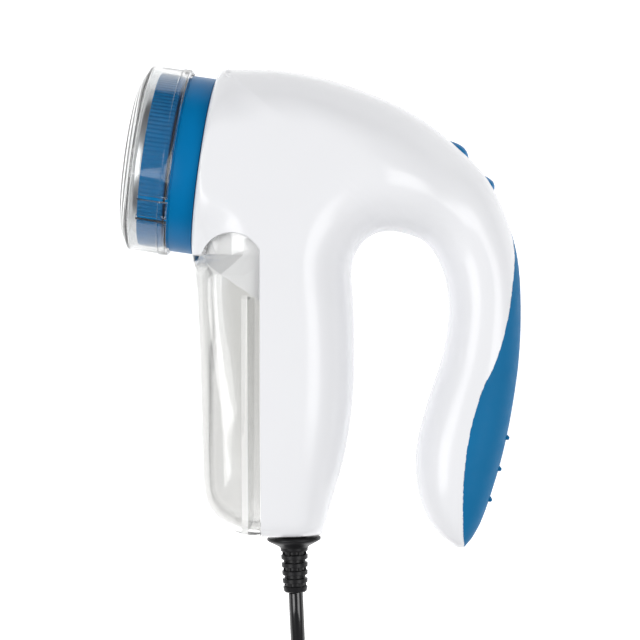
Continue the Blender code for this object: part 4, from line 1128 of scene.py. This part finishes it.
def make_plug():
    """A flat two-pin plug: a ribbed neck, a waisted body and two sleeved pins."""
    rings = [plug_ring(0.0, 3.0, 3.0, 1.0)]
    for k in range(4):
        start = 0.3 + 1.9 * k
        size = 3.5 + 0.2 * k
        for along, radius in ((0.0, size), (1.1, size), (1.2, size - 0.5), (1.8, size - 0.5)):
            rings.append(plug_ring(start + along, radius, radius, 1.0))
    for along, wide, high in PLUG_BODY:
        rings.append(plug_ring(along, wide, high, 0.45))
    body = made("plug_shell", lofted(rings), looks["black_plastic"])
    grooves = []
    for k in range(3):
        along = 20.5 + 2.4 * k
        for low, high in ((3.9, 6.0), (-6.0, -3.9)):
            flat = ((0.0, -8.0), (1.1, -8.0), (1.1, 8.0), (0.0, 8.0))
            corners = [plug_at(along + a, w, 0.0) for a, w in flat]
            grooves.append(lofted([[(p.x, p.y, p.z + h) for p in corners] for h in (low, high)]))
    carved(body, ("DIFFERENCE", joined(grooves)))
    smooth(body, 35)
    piece(body, "housing", "black_plastic", "plug_body")
    parts = [body]
    for k, aside in enumerate((-PIN_ASIDE, PIN_ASIDE)):
        for name, profile, look in (("sleeve", SLEEVE, "black_plastic"), ("contact", CONTACT, "nickel")):
            rings = []
            for along, radius in profile:
                ends = circle(aside, 0.0, radius, PIN_SIDES)
                rings.append([plug_at(along, x, up) for x, up in ends])
            shape = hooped(rings) if name == "sleeve" else lofted(rings)
            item = smooth(made(f"plug_{name}_{k + 1}", shape, looks[look]), 35)
            if name == "contact":
                piece(item, "housing", look, f"plug_pin_{k + 1}")
            else:
                piece(item, "housing", look)
            parts.append(item)
    return parts


make_slider()
relief = make_relief()
plug_parts = make_plug()

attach(lead, "housing")
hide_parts("cord", "cord_coil", "cord_tail")


# ---------------------------------------------------------------- CAD nodes that stay


NODE_LOOKS = {
    "inner_white": ("lint_duct", "cutter_chamber", "cord_clamp"),
    "steel": ("housing_screw_", "blade_1", "blade_2", "blade_3", "blade_spring", "motor_can", "motor_shaft",
              "clamp_screw_"),
    "grey_plastic": ("blade_hub", "fan", "motor_plate"),
    "bronze": ("front_bush", "rear_bush"),
    "copper": ("armature", "commutator"),
    "ferrite": ("magnet_",),
    "black_plastic": ("motor_end_cap", "switch_body", "filter_capacitor", "bridge_rectifier", "cord_tie"),
    "board_green": ("rectifier_board",),
    "amber_plastic": ("dropper_capacitor",),
    "wire_insulation": ("mains_wire_", "motor_wire_"),
    "cord_black": ("cord_inner",),
}


def dress_nodes():
    for look, starts in NODE_LOOKS.items():
        for name, node in frame["nodes"].items():
            if any(name.startswith(s) for s in starts):
                node.data.materials.clear()
                node.data.materials.append(looks[look])


dress_nodes()


# ---------------------------------------------------------------- floor and light


SKY = 0.7
BOX_SIZE = (1.0, 0.9)
LEFT_WATTS, RIGHT_WATTS = 14.2, 12.4


def make_floor():
    mesh = bpy.data.meshes.new("floor")
    reach = 2.5
    corners = [(-reach, -reach, 0), (reach, -reach, 0), (reach, reach, 0), (-reach, reach, 0)]
    mesh.from_pydata(corners, [], [(0, 1, 2, 3)])
    item = bpy.data.objects.new("floor", mesh)
    item.location.z = -0.0004
    scene.collection.objects.link(item)
    finish = Finish("floor_card")
    finish.colour(finish.noise(3.0, 2.0), (0.93, 0.93, 0.93), (0.95, 0.95, 0.95))
    finish.rough(finish.noise(40.0, 3.0), 0.6, 0.7)
    finish.set(Emission_Color=(1.0, 1.0, 1.0, 1.0), Emission_Strength=0.5)
    mesh.materials.append(finish.material)


def softbox(name, at, size, power, aim=(0.0, 0.0, 0.0)):
    data = bpy.data.lights.new(name, "AREA")
    data.shape = "RECTANGLE"
    data.size, data.size_y = size
    data.energy = power
    item = bpy.data.objects.new(name, data)
    item.location = at
    item.rotation_euler = (Vector(aim) - Vector(at)).to_track_quat("-Z", "Y").to_euler()
    scene.collection.objects.link(item)


def make_sky():
    """A plain studio: bright at the sides, dimmer overhead, at the horizon and to the front and back."""
    sky = bpy.data.worlds.new("studio")
    scene.world = sky
    sky.use_nodes = True
    nodes, links = sky.node_tree.nodes, sky.node_tree.links
    back = nodes["Background"]
    place = nodes.new("ShaderNodeTexCoord")
    split = nodes.new("ShaderNodeSeparateXYZ")
    ramp = nodes.new("ShaderNodeValToRGB")
    stops = ((0.0, 0.42), (0.3, 0.8), (0.72, 1.0), (0.88, 0.56), (1.0, 0.44))
    while len(ramp.color_ramp.elements) < len(stops):
        ramp.color_ramp.elements.new(0.5)
    for element, (at, level) in zip(ramp.color_ramp.elements, stops):
        element.position = at
        element.color = (level, level, level * 1.01, 1.0)
    links.new(place.outputs["Generated"], split.inputs[0])
    links.new(split.outputs["Z"], ramp.inputs["Fac"])
    shadow = nodes.new("ShaderNodeMapRange")
    for name, value in (("From Min", 0.0), ("From Max", 1.0), ("To Min", 1.0), ("To Max", 0.2)):
        shadow.inputs[name].default_value = value
    level = nodes.new("ShaderNodeMath")
    level.operation = "ABSOLUTE"
    links.new(split.outputs["Y"], level.inputs[0])
    links.new(level.outputs[0], shadow.inputs["Value"])
    scale = nodes.new("ShaderNodeVectorMath")
    scale.operation = "SCALE"
    links.new(ramp.outputs["Color"], scale.inputs[0])
    links.new(shadow.outputs["Result"], scale.inputs["Scale"])
    links.new(scale.outputs[0], back.inputs["Color"])
    back.inputs["Strength"].default_value = SKY


make_floor()
make_sky()
softbox("side_left", (-1.0, -0.15, 1.25), BOX_SIZE, LEFT_WATTS)
softbox("side_right", (1.0, -0.15, 1.25), BOX_SIZE, RIGHT_WATTS)

scene.view_settings.view_transform = "Standard"
scene.view_settings.look = "None"
scene.view_settings.exposure = 0.0
scene.view_settings.gamma = 1.0
